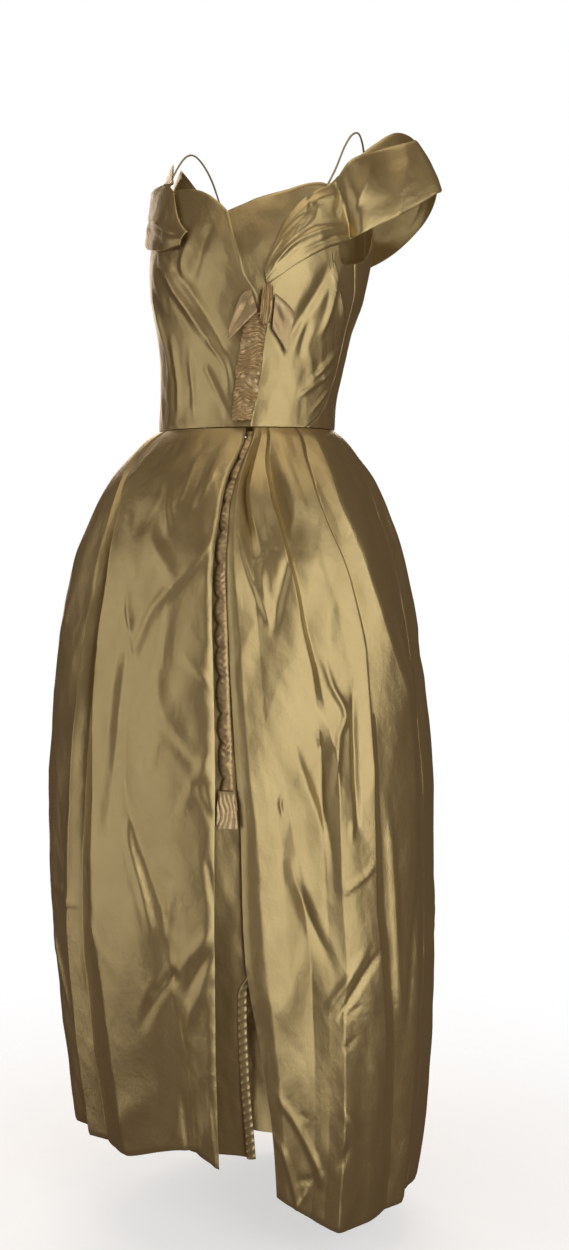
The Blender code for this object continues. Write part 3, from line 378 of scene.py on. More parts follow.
# ---------------------------------------------------------------- curves and surfaces
def smooth(x, knots, column=1):
    """One column's value at each x, smooth through the knots, whose first column is x."""
    table = np.array(knots, float)
    at, value = table[:, 0], table[:, column]
    last = len(at) - 1
    low = np.maximum(np.arange(last + 1) - 1, 0)
    high = np.minimum(np.arange(last + 1) + 1, last)
    slope = (value[high] - value[low]) / (at[high] - at[low])
    x = np.clip(x, at[0], at[-1])
    i = np.clip(np.searchsorted(at, x, side="right") - 1, 0, last - 1)
    step = at[i + 1] - at[i]
    t = (x - at[i]) / step
    return ((2 * t**3 - 3 * t**2 + 1) * value[i] + (t**3 - 2 * t**2 + t) * step * slope[i]
            + (3 * t**2 - 2 * t**3) * value[i + 1] + (t**3 - t**2) * step * slope[i + 1])


def mix(start, end, share):
    return start + (end - start) * share


def eased(share):
    """0 to 1 with no slope at either end."""
    share = np.clip(share, 0, 1)
    return share**2 * (3 - 2 * share)


def bowed(share):
    """0 at either end and 1 in the middle."""
    return 4 * share * (1 - share)


def bent(share, start, end):
    """0 to 1, leaving at the slope start and arriving at the slope end."""
    return ((share**3 - 2 * share**2 + share) * start + 3 * share**2 - 2 * share**3
            + (share**3 - share**2) * end)


def ring_point(angle, half_width, front, back, middle_x, middle_y, height, off):
    """Points of oval rings whose front and back halves differ, moved off them in plan."""
    s, c = np.sin(np.radians(angle)), np.cos(np.radians(angle))
    depth = np.where(c > 0, front, back)
    length = np.hypot(depth * s, half_width * c)
    x = middle_x + half_width * s + off * depth * s / length
    y = middle_y - depth * c - off * half_width * c / length
    return np.stack(np.broadcast_arrays(x, y, height), -1)


def skirt_point(angle, drop, off=0.0):
    half_width, front, back, sway = [smooth(drop, SKIRT_RINGS, k) for k in (1, 2, 3, 4)]
    return ring_point(angle, half_width, front, back, sway, 0.0, -drop, off)


def bodice_point(angle, height, off=0.0):
    half_width, front, back, lean = [smooth(height, BODICE_RINGS, k) for k in (1, 2, 3, 4)]
    return ring_point(angle, half_width, front, back, 0.0, lean, height, off)


def lifted(surface, angle, height, lift):
    """A surface's points, moved off it by lift along its own normal."""
    across = surface(angle + 1.0, height) - surface(angle - 1.0, height)
    along = surface(angle, height + 0.004) - surface(angle, height - 0.004)
    normal = np.cross(across, along)
    normal /= np.linalg.norm(normal, axis=-1, keepdims=True)
    outward = surface(angle, height, 0.01) - surface(angle, height)
    normal *= np.sign((normal * outward).sum(-1, keepdims=True))
    return surface(angle, height) + normal * np.asarray(lift)[..., None]


def creased(x, y, scale, creases):
    """How far the creases stand off at places (x across, y down), in metres.

    scale turns a knot's first two numbers into metres across and down.
    """
    depth = bpy.context.scene.gown_cloth.crease / 1000
    total = np.zeros(np.broadcast(x, y).shape)
    for left, right, knots in creases:
        route = [(k, a * scale[0], d * scale[1], mm) for k, (a, d, mm) in enumerate(knots)]
        at = np.linspace(0, len(knots) - 1, 4 * (len(knots) - 1) + 1)
        line = np.stack([smooth(at, route, column) for column in (1, 2, 3)], -1)
        nearest = np.full(total.shape, 9.0)
        rise = np.zeros(total.shape)
        for (x0, y0, start), (x1, y1, end) in zip(line, line[1:]):
            dx, dy = x1 - x0, y1 - y0
            share = np.clip(((x - x0) * dx + (y - y0) * dy) / (dx**2 + dy**2), 0, 1)
            away_x, away_y = x - x0 - share * dx, y - y0 - share * dy
            reach = np.where(dx * away_y - dy * away_x > 0, left, right) / 1000
            distance = np.hypot(away_x, away_y) / reach
            closer = distance < nearest
            nearest = np.where(closer, distance, nearest)
            rise = np.where(closer, mix(start, end, share), rise)
        near = np.clip(1 - nearest, 0, 1)
        total += rise * depth * near**2 * (2 - near)
    return total


def mirrored(crease):
    """The same crease on the gown's other side."""
    left, right, knots = crease
    return right, left, tuple((-angle, drop, rise) for angle, drop, rise in knots)


def crumple(x, y, seed, across, along):
    """Soft random undulation from about -1 to 1, with the wavelengths across and along."""
    x, y = np.broadcast_arrays(x, y)
    places = zip((x / across).ravel(), (y / along).ravel())
    return np.array([noise.noise((u, v, seed)) for u, v in places]).reshape(x.shape) * 1.7


def creeping(x, y, seed):
    """The slight unevenness of hung satin, in metres: long soft rolls and finer ones between."""
    crisp = np.abs(crumple(x + 0.25 * y, y, seed + 11, 0.050, 0.120))
    return (0.0012 * crumple(x, y, seed, 0.060, 0.170) - 0.0014 * crisp
            + 0.0007 * crumple(x + 0.2 * y, y, seed + 3, 0.026, 0.060)
            + 0.0003 * crumple(x - 0.3 * y, y, seed + 7, 0.013, 0.026))


def bodice_off(angle, height):
    """How far the bodice's creases stand off its rings."""
    x, y = BODICE_RADIUS * np.radians(angle), -height
    scale = (BODICE_RADIUS * pi / 180, -1)
    even = (0.0006 * crumple(x, y, 11.5, 0.035, 0.050) + 0.0003 * crumple(x, y, 14.5, 0.014, 0.020)
            - 0.0008 * np.abs(crumple(x - 0.5 * y, y, 17.5, 0.030, 0.060)))
    sides = [each for crease in BODICE_SIDE_CREASES for each in (crease, mirrored(crease))]
    return creased(x, y, scale, (*BODICE_CREASES, *sides)) + even


def wrap_lift(angle, height):
    """The wrapped front's stand-off, full at its edge and gone WRAP_FADE degrees back from it."""
    share = np.clip((smooth(height, WRAP_EDGE) - angle) / WRAP_FADE, 0, 1)
    return WRAP_LIFT * (1 - eased(share))


def stand_off(points, lift):
    """Points pushed straight out until they are lift away from the bodice, where beside it."""
    x, y, z = points[..., 0], points[..., 1], points[..., 2]
    half_width, front, back, lean = [smooth(z, BODICE_RINGS, k) for k in (1, 2, 3, 4)]
    depth = np.where(y < lean, front, back)
    u, v = x / half_width, (y - lean) / depth
    angle = np.degrees(np.arctan2(u, -v))
    face = bodice_point(angle, z, bodice_off(angle, z) + lift)
    reach = np.hypot(face[..., 0] / half_width, (face[..., 1] - lean) / depth)
    inside = (np.hypot(u, v) < reach) & (z < TOP_OF_BODICE)
    return np.where(inside[..., None], face, points)


# ---------------------------------------------------------------- node trees
class Wire:
    """A node's output. Sums and products of wires and numbers add their own Math nodes."""

    def __init__(self, tree, socket):
        self.tree = tree
        self.socket = socket

    def maths(self, operation, *values):
        return node(self.tree, "ShaderNodeMath", {"operation": operation}, dict(enumerate(values)))

    def __add__(self, other):
        return self.maths("ADD", self, other)

    def __sub__(self, other):
        return self.maths("SUBTRACT", self, other)

    def __rsub__(self, other):
        return self.maths("SUBTRACT", other, self)

    def __mul__(self, other):
        return self.maths("MULTIPLY", self, other)

    def __pow__(self, other):
        return self.maths("POWER", self, other)

    def sine(self):
        return self.maths("SINE", self)

    __radd__ = __add__
    __rmul__ = __mul__


def node(tree, kind, settings=None, inputs=None, output=0):
    """Add a node, set it up, then fill its sockets with wires or plain values."""
    made = tree.nodes.new(kind)
    for name, value in (settings or {}).items():
        setattr(made, name, value)
    fill(made, inputs or {})
    return Wire(tree, made.outputs[output])


def fill(made, inputs):
    """Fill a node's sockets with wires or plain values."""
    for name, value in inputs.items():
        if isinstance(value, Wire):
            value.tree.links.new(value.socket, made.inputs[name])
        else:
            made.inputs[name].default_value = value


def new_finish(name):
    """A new material, its node tree and its shader."""
    material = bpy.data.materials.new(name)
    material.use_nodes = True
    return material, material.node_tree, material.node_tree.nodes["Principled BSDF"]


def placed(name, data):
    """A new object at the origin, linked to the scene."""
    thing = bpy.data.objects.new(name, data)
    bpy.context.scene.collection.objects.link(thing)
    return thing


def blended(tree, factor, first, second):
    """A colour between two, by a factor from 0 to 1."""
    return node(tree, "ShaderNodeMix", {"data_type": "RGBA"}, {0: factor, 6: first, 7: second}, 2)


def cloudy(tree, place, size, detail=2.0, scale=(1, 1, 1)):
    """Noise from 0 to 1 whose lumps are about size metres across, stretched by scale."""
    mapped = node(tree, "ShaderNodeMapping", {}, {"Vector": place, "Scale": scale})
    return node(tree, "ShaderNodeTexNoise", {},
                {"Vector": mapped, "Scale": 1 / size, "Detail": detail, "Roughness": 0.55})


def satin(name, cloth_colour, deep, pale_and_highlight, roughness, pucker):
    """Satin: warp floats down the cloth, faint streaks along them, cloudy lustre, soft puckers,
    painted highlight.
    """
    sizes = bpy.context.scene.gown_cloth
    material, tree, shader = new_finish(name)
    flat = node(tree, "ShaderNodeUVMap", {"uv_map": "cloth"})
    place = node(tree, "ShaderNodeTexCoord", output="Object")
    across = node(tree, "ShaderNodeSeparateXYZ", {}, {0: flat}, 0)
    along = node(tree, "ShaderNodeSeparateXYZ", {}, {0: flat}, 1)
    clouds = cloudy(tree, place, 0.050, 3.0)
    streaks = cloudy(tree, flat, 0.0012, 2.0, (1, 0.012, 1))
    warp = (across * (2 * pi / sizes.thread_pitch)).sine()
    weft = (along * (2 * pi / (sizes.thread_pitch * 4)) + across * (pi / sizes.thread_pitch)).sine()
    # The edge attribute is the mask of painted highlight: turned edges, ruche ridges, tuck crests.
    edge = node(tree, "ShaderNodeAttribute", {"attribute_name": "edge"}, output=2)
    colour = blended(tree, clouds * 0.75, cloth_colour, deep)
    colour = blended(tree, streaks * 0.16, colour, pale_and_highlight)
    # Painted highlight: the paler colour is laid on where the edge attribute is high.
    colour = blended(tree, edge * 0.55, colour, pale_and_highlight)
    fine = node(tree, "ShaderNodeBump", {},
                {"Height": warp * 0.6 + weft * 0.4, "Distance": sizes.thread_pitch * 0.12,
                 "Strength": 0.5})
    wrinkles = cloudy(tree, flat, 0.016, 3.0, (1, 0.6, 1)) + 0.35 * cloudy(tree, place, 0.006, 2.0)
    bump = node(tree, "ShaderNodeBump", {},
                {"Height": wrinkles, "Distance": pucker, "Strength": 0.6, "Normal": fine})
    fill(shader, {"Base Color": colour, "Normal": bump, "Metallic": sizes.lustre,
                  "Roughness": clouds * 0.10 + streaks * 0.06 + (roughness - 0.08),
                  "Coat Weight": 0.12, "Coat Roughness": 0.34,
                  "Coat Tint": (1.0, 0.93, 0.78, 1.0),
                  "Sheen Weight": 0.12, "Sheen Roughness": 0.45, "Sheen Tint": pale_and_highlight})
    return material


def thread_material(name, colour):
    """Twisted sewing thread: fine slanted bands, with painted shade in the grooves between the
    twists.
    """
    pitch = bpy.context.scene.gown_cloth.thread_pitch
    material, tree, shader = new_finish(name)
    place = node(tree, "ShaderNodeTexCoord", output="Object")
    total = node(tree, "ShaderNodeVectorMath", {"operation": "DOT_PRODUCT"},
                 {0: place, 1: (1.0, 0.6, 1.0)}, "Value")
    twist = (total * (2 * pi / pitch)).sine() * 0.5 + 0.5
    # Painted shade: the thread is made darker in the grooves, where the bump is low.
    dark = [c * 0.6 for c in colour[:3]] + [1.0]
    bump = node(tree, "ShaderNodeBump", {}, {"Height": twist, "Distance": 0.0001, "Strength": 0.6})
    fill(shader, {"Base Color": blended(tree, twist, dark, colour), "Normal": bump,
                  "Roughness": 0.45 + twist * 0.1})
    return material


def finish_of(name):
    """The named finish, made on first use."""
    if name in bpy.data.materials:
        return bpy.data.materials[name]
    look = bpy.context.scene.gown_colours
    # pale_and_highlight is the paler colour: painted highlight on edges and ridges, random streaks,
    # sheen tint, and the straps' own colour.
    gold, deep, pale_and_highlight = tuple(look.gold), tuple(look.gold_deep), tuple(look.gold_pale_and_highlight)
    rose, rose_deep, rose_pale_and_highlight = tuple(look.rose), tuple(look.rose_deep), tuple(look.rose_pale_and_highlight)
    finishes = {
        "gold satin": lambda: satin(name, gold, deep, pale_and_highlight, look.roughness, 0.0010),
        "rose satin": lambda: satin(name, rose, rose_deep, rose_pale_and_highlight, look.roughness + 0.08,
                                    0.0016),
        "rouleau": lambda: satin(name, pale_and_highlight, gold, pale_and_highlight, look.roughness, 0.0004),
        "gold thread": lambda: thread_material(name, gold),
    }
    return finishes[name]()


# ---------------------------------------------------------------- making cloth
def steps_along(points, axis):
    """Running length along the rows (axis 1) or down the columns (axis 0) of a grid."""
    length = np.linalg.norm(np.diff(points, axis=axis), axis=-1)
    start = np.zeros_like(np.take(length, [0], axis))
    return np.concatenate([start, np.cumsum(length, axis)], axis)


def grid_area(points):
    first = points[1:, :-1] - points[:-1, :-1]
    second = points[:-1, 1:] - points[:-1, :-1]
    return float(np.linalg.norm(np.cross(first, second), axis=-1).sum())


def cloth(name, points, finish, wall, edge=None, loose=1.0, nodes=()):
    """A cloth piece from a grid of points, top row first and left to right as seen from outside.

    edge is 1 where a paler colour is painted on as highlight, as on turned edges, loose is how much
    more cloth was cut than shows.
    """
    rows, columns = points.shape[:2]
    corner = np.arange(rows * columns).reshape(rows, columns)
    faces = np.stack([corner[:-1, :-1], corner[1:, :-1], corner[1:, 1:], corner[:-1, 1:]], -1)
    faces = faces.reshape(-1, 4)
    across, along = steps_along(points, 1), steps_along(points, 0)
    mesh = bpy.data.meshes.new(name)
    mesh.from_pydata(points.reshape(-1, 3).tolist(), [], faces.tolist())
    flat = np.stack([across, along], -1).reshape(-1, 2)
    mesh.uv_layers.new(name="cloth").data.foreach_set("uv", flat[faces.ravel()].ravel())
    # The painted highlight mask goes into the edge attribute.
    turned = np.zeros((rows, columns)) if edge is None else edge
    mesh.attributes.new("edge", "FLOAT", "POINT").data.foreach_set("value", turned.ravel())
    mesh.shade_smooth()
    mesh.materials.append(finish_of(finish))
    thing = placed(name + "_satin", mesh)
    shell = thing.modifiers.new("Wall", "SOLIDIFY")
    shell.thickness = wall
    shell.offset = -1.0
    rounded = thing.modifiers.new("Rounded edge", "BEVEL")
    rounded.width = wall * 0.3
    rounded.segments = 2
    rounded.limit_method = "ANGLE"
    rounded.angle_limit = radians(65)
    width, length = float(across.max()) * loose, float(along.max())
    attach(thing, "root")
    if nodes:
        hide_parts(*nodes)
    round(min(grid_area(points) * loose, width * length), 4)


def near_edge(distance, reach):
    """1 at an edge, falling to 0 at reach from it."""
    return np.clip(1 - distance / reach, 0, 1) ** 2


def seam_relief(distance, dip, reach, swell, beside):
    """A seam's dip at the panel's edge and the swell of its turnings beside it."""
    return swell * near_edge(abs(distance - beside), beside - 0.002) - dip * near_edge(
        distance, reach)


def skirt_panel(name, folds, creases, seed, seam_left, seam_right, steps, rows):
    """A quarter of the skirt: its fold lines, creases and turned or seamed edges."""
    sizes = bpy.context.scene.gown_cloth
    share = (np.linspace(0, 1, rows) ** HEM_CROWDING)[:, None]
    fold_drop = share[:, 0] * SKIRT_LENGTH
    angles, offs = [], []
    for k, ((crisp, line), (next_crisp, next_line)) in enumerate(zip(folds, folds[1:])):
        t = np.linspace(0, 1, steps, endpoint=False)
        if k == 0:
            t = t**EDGE_CROWDING
        if k == len(folds) - 2:
            t = 1 - (1 - np.linspace(0, 1, steps + 1)) ** EDGE_CROWDING
        start, end = [smooth(fold_drop, each, 1)[:, None] for each in (line, next_line)]
        calm = [1.0 if seam_left or j > 1 else FREE_EDGE_CALM for j in (k, k + 1)]
        low, high = [smooth(fold_drop, each, 2)[:, None] * much
                     for each, much in zip((line, next_line), calm)]
        angles.append(mix(start, end, t[None, :]))
        offs.append(mix(low, high, bent(t, crisp, next_crisp)[None, :]) * sizes.fold / 1000)
    angle, off = np.concatenate(angles, 1), np.concatenate(offs, 1)
    hem = smooth((angle + 180) % 360 - 180, HEM)
    drop = WAIST_GAP + share * (hem - WAIST_GAP)
    radius = smooth(drop, SKIRT_RINGS, 1)
    from_left = np.radians(angle - angle[:, :1]) * radius
    from_right = np.radians(angle[:, -1:] - angle) * radius
    x = SKIRT_RADIUS * np.radians(angle)
    scale = (SKIRT_RADIUS * pi / 180, 1)
    settle = eased(drop / 0.03)
    off = off + creased(x, drop, scale, creases) + settle * creeping(x, drop, seed)
    # Painted highlight: a paler colour along the free front edges.
    pale_and_highlight = np.zeros(angle.shape)
    for distance, seam, wide in ((from_left, seam_left, 0.006), (from_right, seam_right, 0.008)):
        if seam:
            off = off + seam_relief(distance, 0.0008, 0.003, 0.0004, 0.006)
        else:
            ripple = crumple(drop, distance * 0, seed + 20, 0.011, 1.0)
            wide = wide * (0.6 + 0.9 * eased((drop - 0.10) / 0.25))
            off = off - 0.0030 * near_edge(distance, wide) + 0.0005 * ripple * near_edge(
                distance, 0.012)
            pale_and_highlight = np.maximum(pale_and_highlight, near_edge(distance, 0.0045))
    to_hem = hem - drop
    off = off - 0.0012 * near_edge(to_hem, 0.004)
    # More painted highlight along the hem.
    pale_and_highlight = np.maximum(pale_and_highlight, 0.8 * near_edge(to_hem, 0.004))
    half_gap = np.degrees(SEAM_GAP / 2 / radius)
    if seam_left:
        angle = angle + half_gap * (from_left < 1e-6)
    if seam_right:
        angle = angle - half_gap * (from_right < 1e-6)
    cloth(name, skirt_point(angle, drop, off), "gold satin", sizes.wall, pale_and_highlight,
          nodes=(name,))


def back_folds(side):
    """Fold lines from the side seam (side 1: the wearer's left) to the centre back."""
    random = Random(47 + side)
    lines = []
    for k in range(BACK_FLUTES + 1):
        share = k / BACK_FLUTES
        depth = BACK_VALLEY_MM if k % 2 == 0 else BACK_RIDGE_MM
        on_seam = k in (0, BACK_FLUTES)
        sway = 0.0 if on_seam else random.uniform(-BACK_SWAY_DEG, BACK_SWAY_DEG)
        depth *= 1.0 if on_seam else random.uniform(0.35, 1.15)
        line = []
        for drop, seam_angle, seam_off in RIGHT_FRONT_FOLDS[0][1]:
            angle = mix(-seam_angle, 180.0, share) + sway * min(drop / 0.25, 1.0)
            off = seam_off if k == 0 else depth * min(drop / 0.10, 1.0)
            line.append((drop, side * angle, off))
        lines.append(((0.5, 1.0, 0.3, 0.8)[k % 4], tuple(line)))
    return tuple(lines) if side > 0 else tuple(reversed(lines))


def back_creases(side, seed):
    """Creases like the front's over a back half: long diagonals, short ones, puckers."""
    random = Random(seed)
    creases = []
    for k in range(BACK_CREASES):
        angle = mix(100, 172, (k * 0.618 + random.uniform(0, 0.08)) % 1) * side
        drop = mix(0.05, 0.86, (k + random.random()) / BACK_CREASES)
        length = random.uniform(0.05, 0.13)
        lean = random.choice((-1, 1)) * random.uniform(4, 16) * length / 0.1
        rise = random.choice((-1, 1)) * random.uniform(1.3, 2.8)
        left, right = random.uniform(6, 18), random.uniform(6, 18)
        creases.append((left, right, (
            (angle - lean / 2, drop, 0), (angle - lean * 0.2, drop + length * 0.35, rise),
            (angle + lean * 0.1, drop + length * 0.65, rise * 0.9),
            (angle + lean / 2, drop + length, 0))))
    return tuple(creases)


def bodice_panel(name, left, right, top, lift, columns, rows, free_left=False, free_right=False):
    """A bodice panel between two edge lines (height to angle) and a top edge (angle to height)."""
    sizes = bpy.context.scene.gown_cloth
    share = np.linspace(0, 1, columns)
    low, high = np.full(columns, 0.10), np.full(columns, 0.34)
    for _ in range(24):
        height = (low + high) / 2
        below = height < top(mix(left(height), right(height), share))
        low, high = np.where(below, height, low), np.where(below, high, height)
    up = np.linspace(1, 0, rows)[:, None]
    height = WAIST_GAP + up * (low[None, :] - WAIST_GAP)
    angle = mix(left(height), right(height), share[None, :])
    off = bodice_off(angle, height) + lift(angle, height)
    radius = smooth(height, BODICE_RINGS, 1)
    from_left = np.radians(angle - left(height)) * radius
    from_right = np.radians(right(height) - angle) * radius
    from_top = low[None, :] - height
    # Painted highlight: a paler colour along the top edge and the free edges.
    pale_and_highlight = 0.7 * near_edge(from_top, 0.003)
    off = off - 0.0008 * near_edge(from_top, 0.003)
    for distance, free in ((from_left, free_left), (from_right, free_right)):
        if free:
            off = off + 0.0009 * near_edge(abs(distance - 0.0018), 0.0022)
            pale_and_highlight = np.maximum(pale_and_highlight, near_edge(distance, 0.0035))
        else:
            off = off + seam_relief(distance, 0.0007, 0.0025, 0.0004, 0.0055)
    off = off - 0.0006 * near_edge(height, 0.003)
    cloth(name, bodice_point(angle, height, off), "gold satin", sizes.wall, pale_and_highlight,
          nodes=(name,))


def two_edges(pairs, at, columns):
    """The upper and the lower edge at each place, smooth through the pairs of points."""
    edges = [[(k, *pair[edge]) for k, pair in enumerate(pairs)] for edge in (0, 1)]
    return [[smooth(at, edge, column) for column in columns] for edge in edges]


def band(name, pairs, stations, rows, bulge, lift, creases, laid, flipped=False):
    """A folded band between an upper and a lower edge, bowed out and clear of the bodice.

    laid is the share of its lift at each place: less where it is sewn down flat.
    """
    sizes = bpy.context.scene.gown_cloth
    at = np.linspace(0, len(pairs) - 1, stations)[None, :]
    share = np.linspace(0, 1, rows)[:, None]
    upper, lower = [np.stack(edge, -1) for edge in two_edges(pairs, at, (1, 2, 3))]
    points = mix(upper, lower, share[..., None])
    outward = points * (1, 1, 0) - (0, 0.06, 0)
    outward /= np.linalg.norm(outward, axis=-1, keepdims=True)
    points = points + outward * (bulge * bowed(share))[..., None]
    points = stand_off(points, lift * laid(at, share))
    x, y = at * BAND_STEP + 0 * share, share * BAND_WIDTH + 0 * at
    wide = np.linalg.norm(upper - lower, axis=-1)
    distance = np.minimum(share, 1 - share) * wide
    off = np.maximum(creased(x, y, (BAND_STEP, BAND_WIDTH), creases), -0.0016)
    off = off + 0.0005 * crumple(x, y, 31.5, 0.030, 0.014) - 0.0010 * near_edge(distance, 0.003)
    points = points + outward * off[..., None]
    # Painted highlight: a paler colour along both edges of the band.
    pale_and_highlight = near_edge(distance, 0.003)
    if flipped:
        points, pale_and_highlight = points[:, ::-1], pale_and_highlight[:, ::-1]
    cloth(name, points, "gold satin", sizes.wall, pale_and_highlight, nodes=(name,))


def rouleau(name, route, sides=12, stations=96):
    """A turned satin tube along a route, with closed ends and a lapped seam down one side."""
    knots = [(k, *point) for k, point in enumerate(route)]
    at = np.linspace(0, len(route) - 1, stations)
    centre = np.stack([smooth(at, knots, c) for c in (1, 2, 3)], -1)
    ahead = np.gradient(centre, axis=0)
    ahead /= np.linalg.norm(ahead, axis=1, keepdims=True)
    side = np.cross(ahead, (0.3, 1.0, 0.2))
    side /= np.linalg.norm(side, axis=1, keepdims=True)
    up = np.cross(side, ahead)
    turn = np.linspace(0, 2 * pi, sides, endpoint=False)
    twist = turn[None, :] + at[:, None] * 1.7
    lumps = crumple(at[:, None], turn[None, :], 5.5, 0.12, 2.0)
    bulge = STRAP_RADIUS * (1 + 0.10 * np.cos(twist) ** 6 + 0.05 * lumps)
    ring = (centre[:, None, :] + side[:, None, :] * (bulge * np.cos(turn))[..., None]
            + up[:, None, :] * (bulge * np.sin(turn))[..., None])
    mesh = bpy.data.meshes.new(name)
    body = bmesh.new()
    rings = [[body.verts.new(p) for p in row] for row in ring]
    flat = body.loops.layers.uv.new("cloth")
    for i, (row, following) in enumerate(zip(rings, rings[1:])):
        for j in range(sides):
            k = (j + 1) % sides
            face = body.faces.new((row[j], row[k], following[k], following[j]))
            corners = ((i, j), (i, j + 1), (i + 1, j + 1), (i + 1, j))
            for loop, (station, around) in zip(face.loops, corners):
                loop[flat].uv = (around * 2 * pi * STRAP_RADIUS / sides, station * 0.004)
    body.faces.new(reversed(rings[0]))
    body.faces.new(rings[-1])
    bmesh.ops.recalc_face_normals(body, faces=body.faces)
    body.to_mesh(mesh)
    body.free()
    mesh.shade_smooth()
    mesh.materials.append(finish_of("rouleau"))
    thing = placed(name + "_rouleau", mesh)
    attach(thing, "root")
    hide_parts(name)


# ---------------------------------------------------------------- stitches
def stitch_tree():
    """Geometry nodes: a row of small thread stitches, pressed along a path of edges."""
    tree = bpy.data.node_groups.new("Stitch row", "GeometryNodeTree")
    face = tree.interface
    face.new_socket("Path", in_out="INPUT", socket_type="NodeSocketGeometry")
    for name in ("Pitch", "Length", "Thickness"):
        face.new_socket(name, in_out="INPUT", socket_type="NodeSocketFloat")
    face.new_socket("Thread", in_out="INPUT", socket_type="NodeSocketMaterial")
    face.new_socket("Stitches", in_out="OUTPUT", socket_type="NodeSocketGeometry")
    inlet = tree.nodes.new("NodeGroupInput")
    given = {socket.name: Wire(tree, socket) for socket in inlet.outputs if socket.name}
    curve = node(tree, "GeometryNodeMeshToCurve", {}, {"Mesh": given["Path"]})
    points = node(tree, "GeometryNodeResampleCurve", {"mode": "LENGTH"},
                  {"Curve": curve, "Length": given["Pitch"]})
    tangent = node(tree, "GeometryNodeInputTangent")
    turned = node(tree, "FunctionNodeAlignRotationToVector", {"axis": "Z"}, {"Vector": tangent})
    bead = node(tree, "GeometryNodeMeshUVSphere", {}, {"Segments": 6, "Rings": 4, "Radius": 0.5})
    size = node(tree, "ShaderNodeCombineXYZ", {},
                {0: given["Thickness"], 1: given["Thickness"], 2: given["Length"]})
    vary = node(tree, "FunctionNodeRandomValue", {"data_type": "FLOAT"},
                {"Min": 0.8, "Max": 1.15, "Seed": 3}, "Value")
    sized = node(tree, "ShaderNodeVectorMath", {"operation": "SCALE"}, {0: size, "Scale": vary})
    rows = node(tree, "GeometryNodeInstanceOnPoints", {},
                {"Points": points, "Instance": bead, "Rotation": turned, "Scale": sized})
    solid = node(tree, "GeometryNodeRealizeInstances", {}, {"Geometry": rows})
    shaded = node(tree, "GeometryNodeSetShadeSmooth", {}, {0: solid})
    done = node(tree, "GeometryNodeSetMaterial", {},
                {"Geometry": shaded, "Material": given["Thread"]})
    outlet = tree.nodes.new("NodeGroupOutput")
    tree.links.new(done.socket, outlet.inputs["Stitches"])
    return tree


def stitch_rows(name, paths, pitch, length, thickness, thread):
    """Rows of stitches along several paths, one plain mesh in the end."""
    points, edges = [], []
    for path in paths:
        first = len(points)
        points += [tuple(p) for p in path]
        edges += [(first + k, first + k + 1) for k in range(len(path) - 1)]
    mesh = bpy.data.meshes.new(name + "_path")
    mesh.from_pydata(points, edges, [])
    guide = placed(name + "_path", mesh)
    tree = stitch_tree()
    rows = guide.modifiers.new("Stitches", "NODES")
    rows.node_group = tree
    values = {"Pitch": pitch, "Length": length, "Thickness": thickness, "Thread": finish_of(thread)}
    for socket in tree.interface.items_tree:
        if socket.in_out == "INPUT" and socket.name in values:
            rows[socket.identifier] = values[socket.name]
    depsgraph = bpy.context.evaluated_depsgraph_get()
    made = bpy.data.meshes.new_from_object(guide.evaluated_get(depsgraph))
    bpy.data.objects.remove(guide)
    made.name = name
    thing = placed(name, made)
    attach(thing, "root")


# ---------------------------------------------------------------- the pieces
class GownCloth(bpy.types.PropertyGroup):
    """The cloth: its wall, weave and lustre, and the stitches."""
    wall: FloatProperty(name="Wall", description="Thickness of the satin with its interlining",
                        default=0.0014, min=0.0008, max=0.003, subtype="DISTANCE", unit="LENGTH")
    ruched_wall: FloatProperty(name="Ruched wall", description="Thickness of the gathered cloth",
                               default=0.0020, subtype="DISTANCE", unit="LENGTH")
    thread_pitch: FloatProperty(name="Thread pitch", description="From one warp float to the next",
                                default=0.0005, subtype="DISTANCE", unit="LENGTH")
    lustre: FloatProperty(name="Lustre", description="How metallic the satin's shine is",
                          default=0.74, min=0, max=1, subtype="FACTOR")
    crease: FloatProperty(name="Crease depth", description="Times the creases' own depths",
                          default=1.45, min=0, max=3)
    fold: FloatProperty(name="Fold depth", description="Times the pleats' own depths",
                        default=1.35, min=0, max=2)
    stitch_length: FloatProperty(name="Stitch length", description="Length of a hand stitch",
                                 default=0.0028, subtype="DISTANCE", unit="LENGTH")
    stitch_pitch: FloatProperty(name="Stitch pitch", description="From one stitch to the next",
                                default=0.0046, subtype="DISTANCE", unit="LENGTH")
    thread: FloatProperty(name="Thread", description="Thickness of the sewing thread",
                          default=0.0006, subtype="DISTANCE", unit="LENGTH")


def colour_of(name, description, red, green, blue):
    return FloatVectorProperty(name=name, description=description, size=4, subtype="COLOR",
                               min=0, max=1, default=(red, green, blue, 1.0))


class GownColours(bpy.types.PropertyGroup):
    """The colours of the two satins."""
    gold: colour_of("Gold", "The gown's satin", 0.54, 0.430, 0.200)
    gold_deep: colour_of("Deep gold", "Its cloudier, deeper patches", 0.46, 0.345, 0.145)
    # Paler gold: its random streaks, and the painted highlight on turned edges.
    gold_pale_and_highlight: colour_of("Pale gold and highlight", "Its pale streaks, and the painted highlight on its turned edges", 0.64, 0.53, 0.28)
    rose: colour_of("Rose", "The satin of the trimmings", 0.60, 0.455, 0.235)
    rose_deep: colour_of("Deep rose", "The trimmings' deeper patches", 0.46, 0.315, 0.140)
    # Paler rose: its random streaks, and the painted highlight on high puckers and ridges.
    rose_pale_and_highlight: colour_of("Pale rose and highlight", "The trimmings' pale streaks, and painted highlight on their high puckers", 0.72, 0.60, 0.36)
    roughness: FloatProperty(name="Roughness", description="How broad the satin's highlight is",
                             default=0.33, min=0, max=1, subtype="FACTOR")


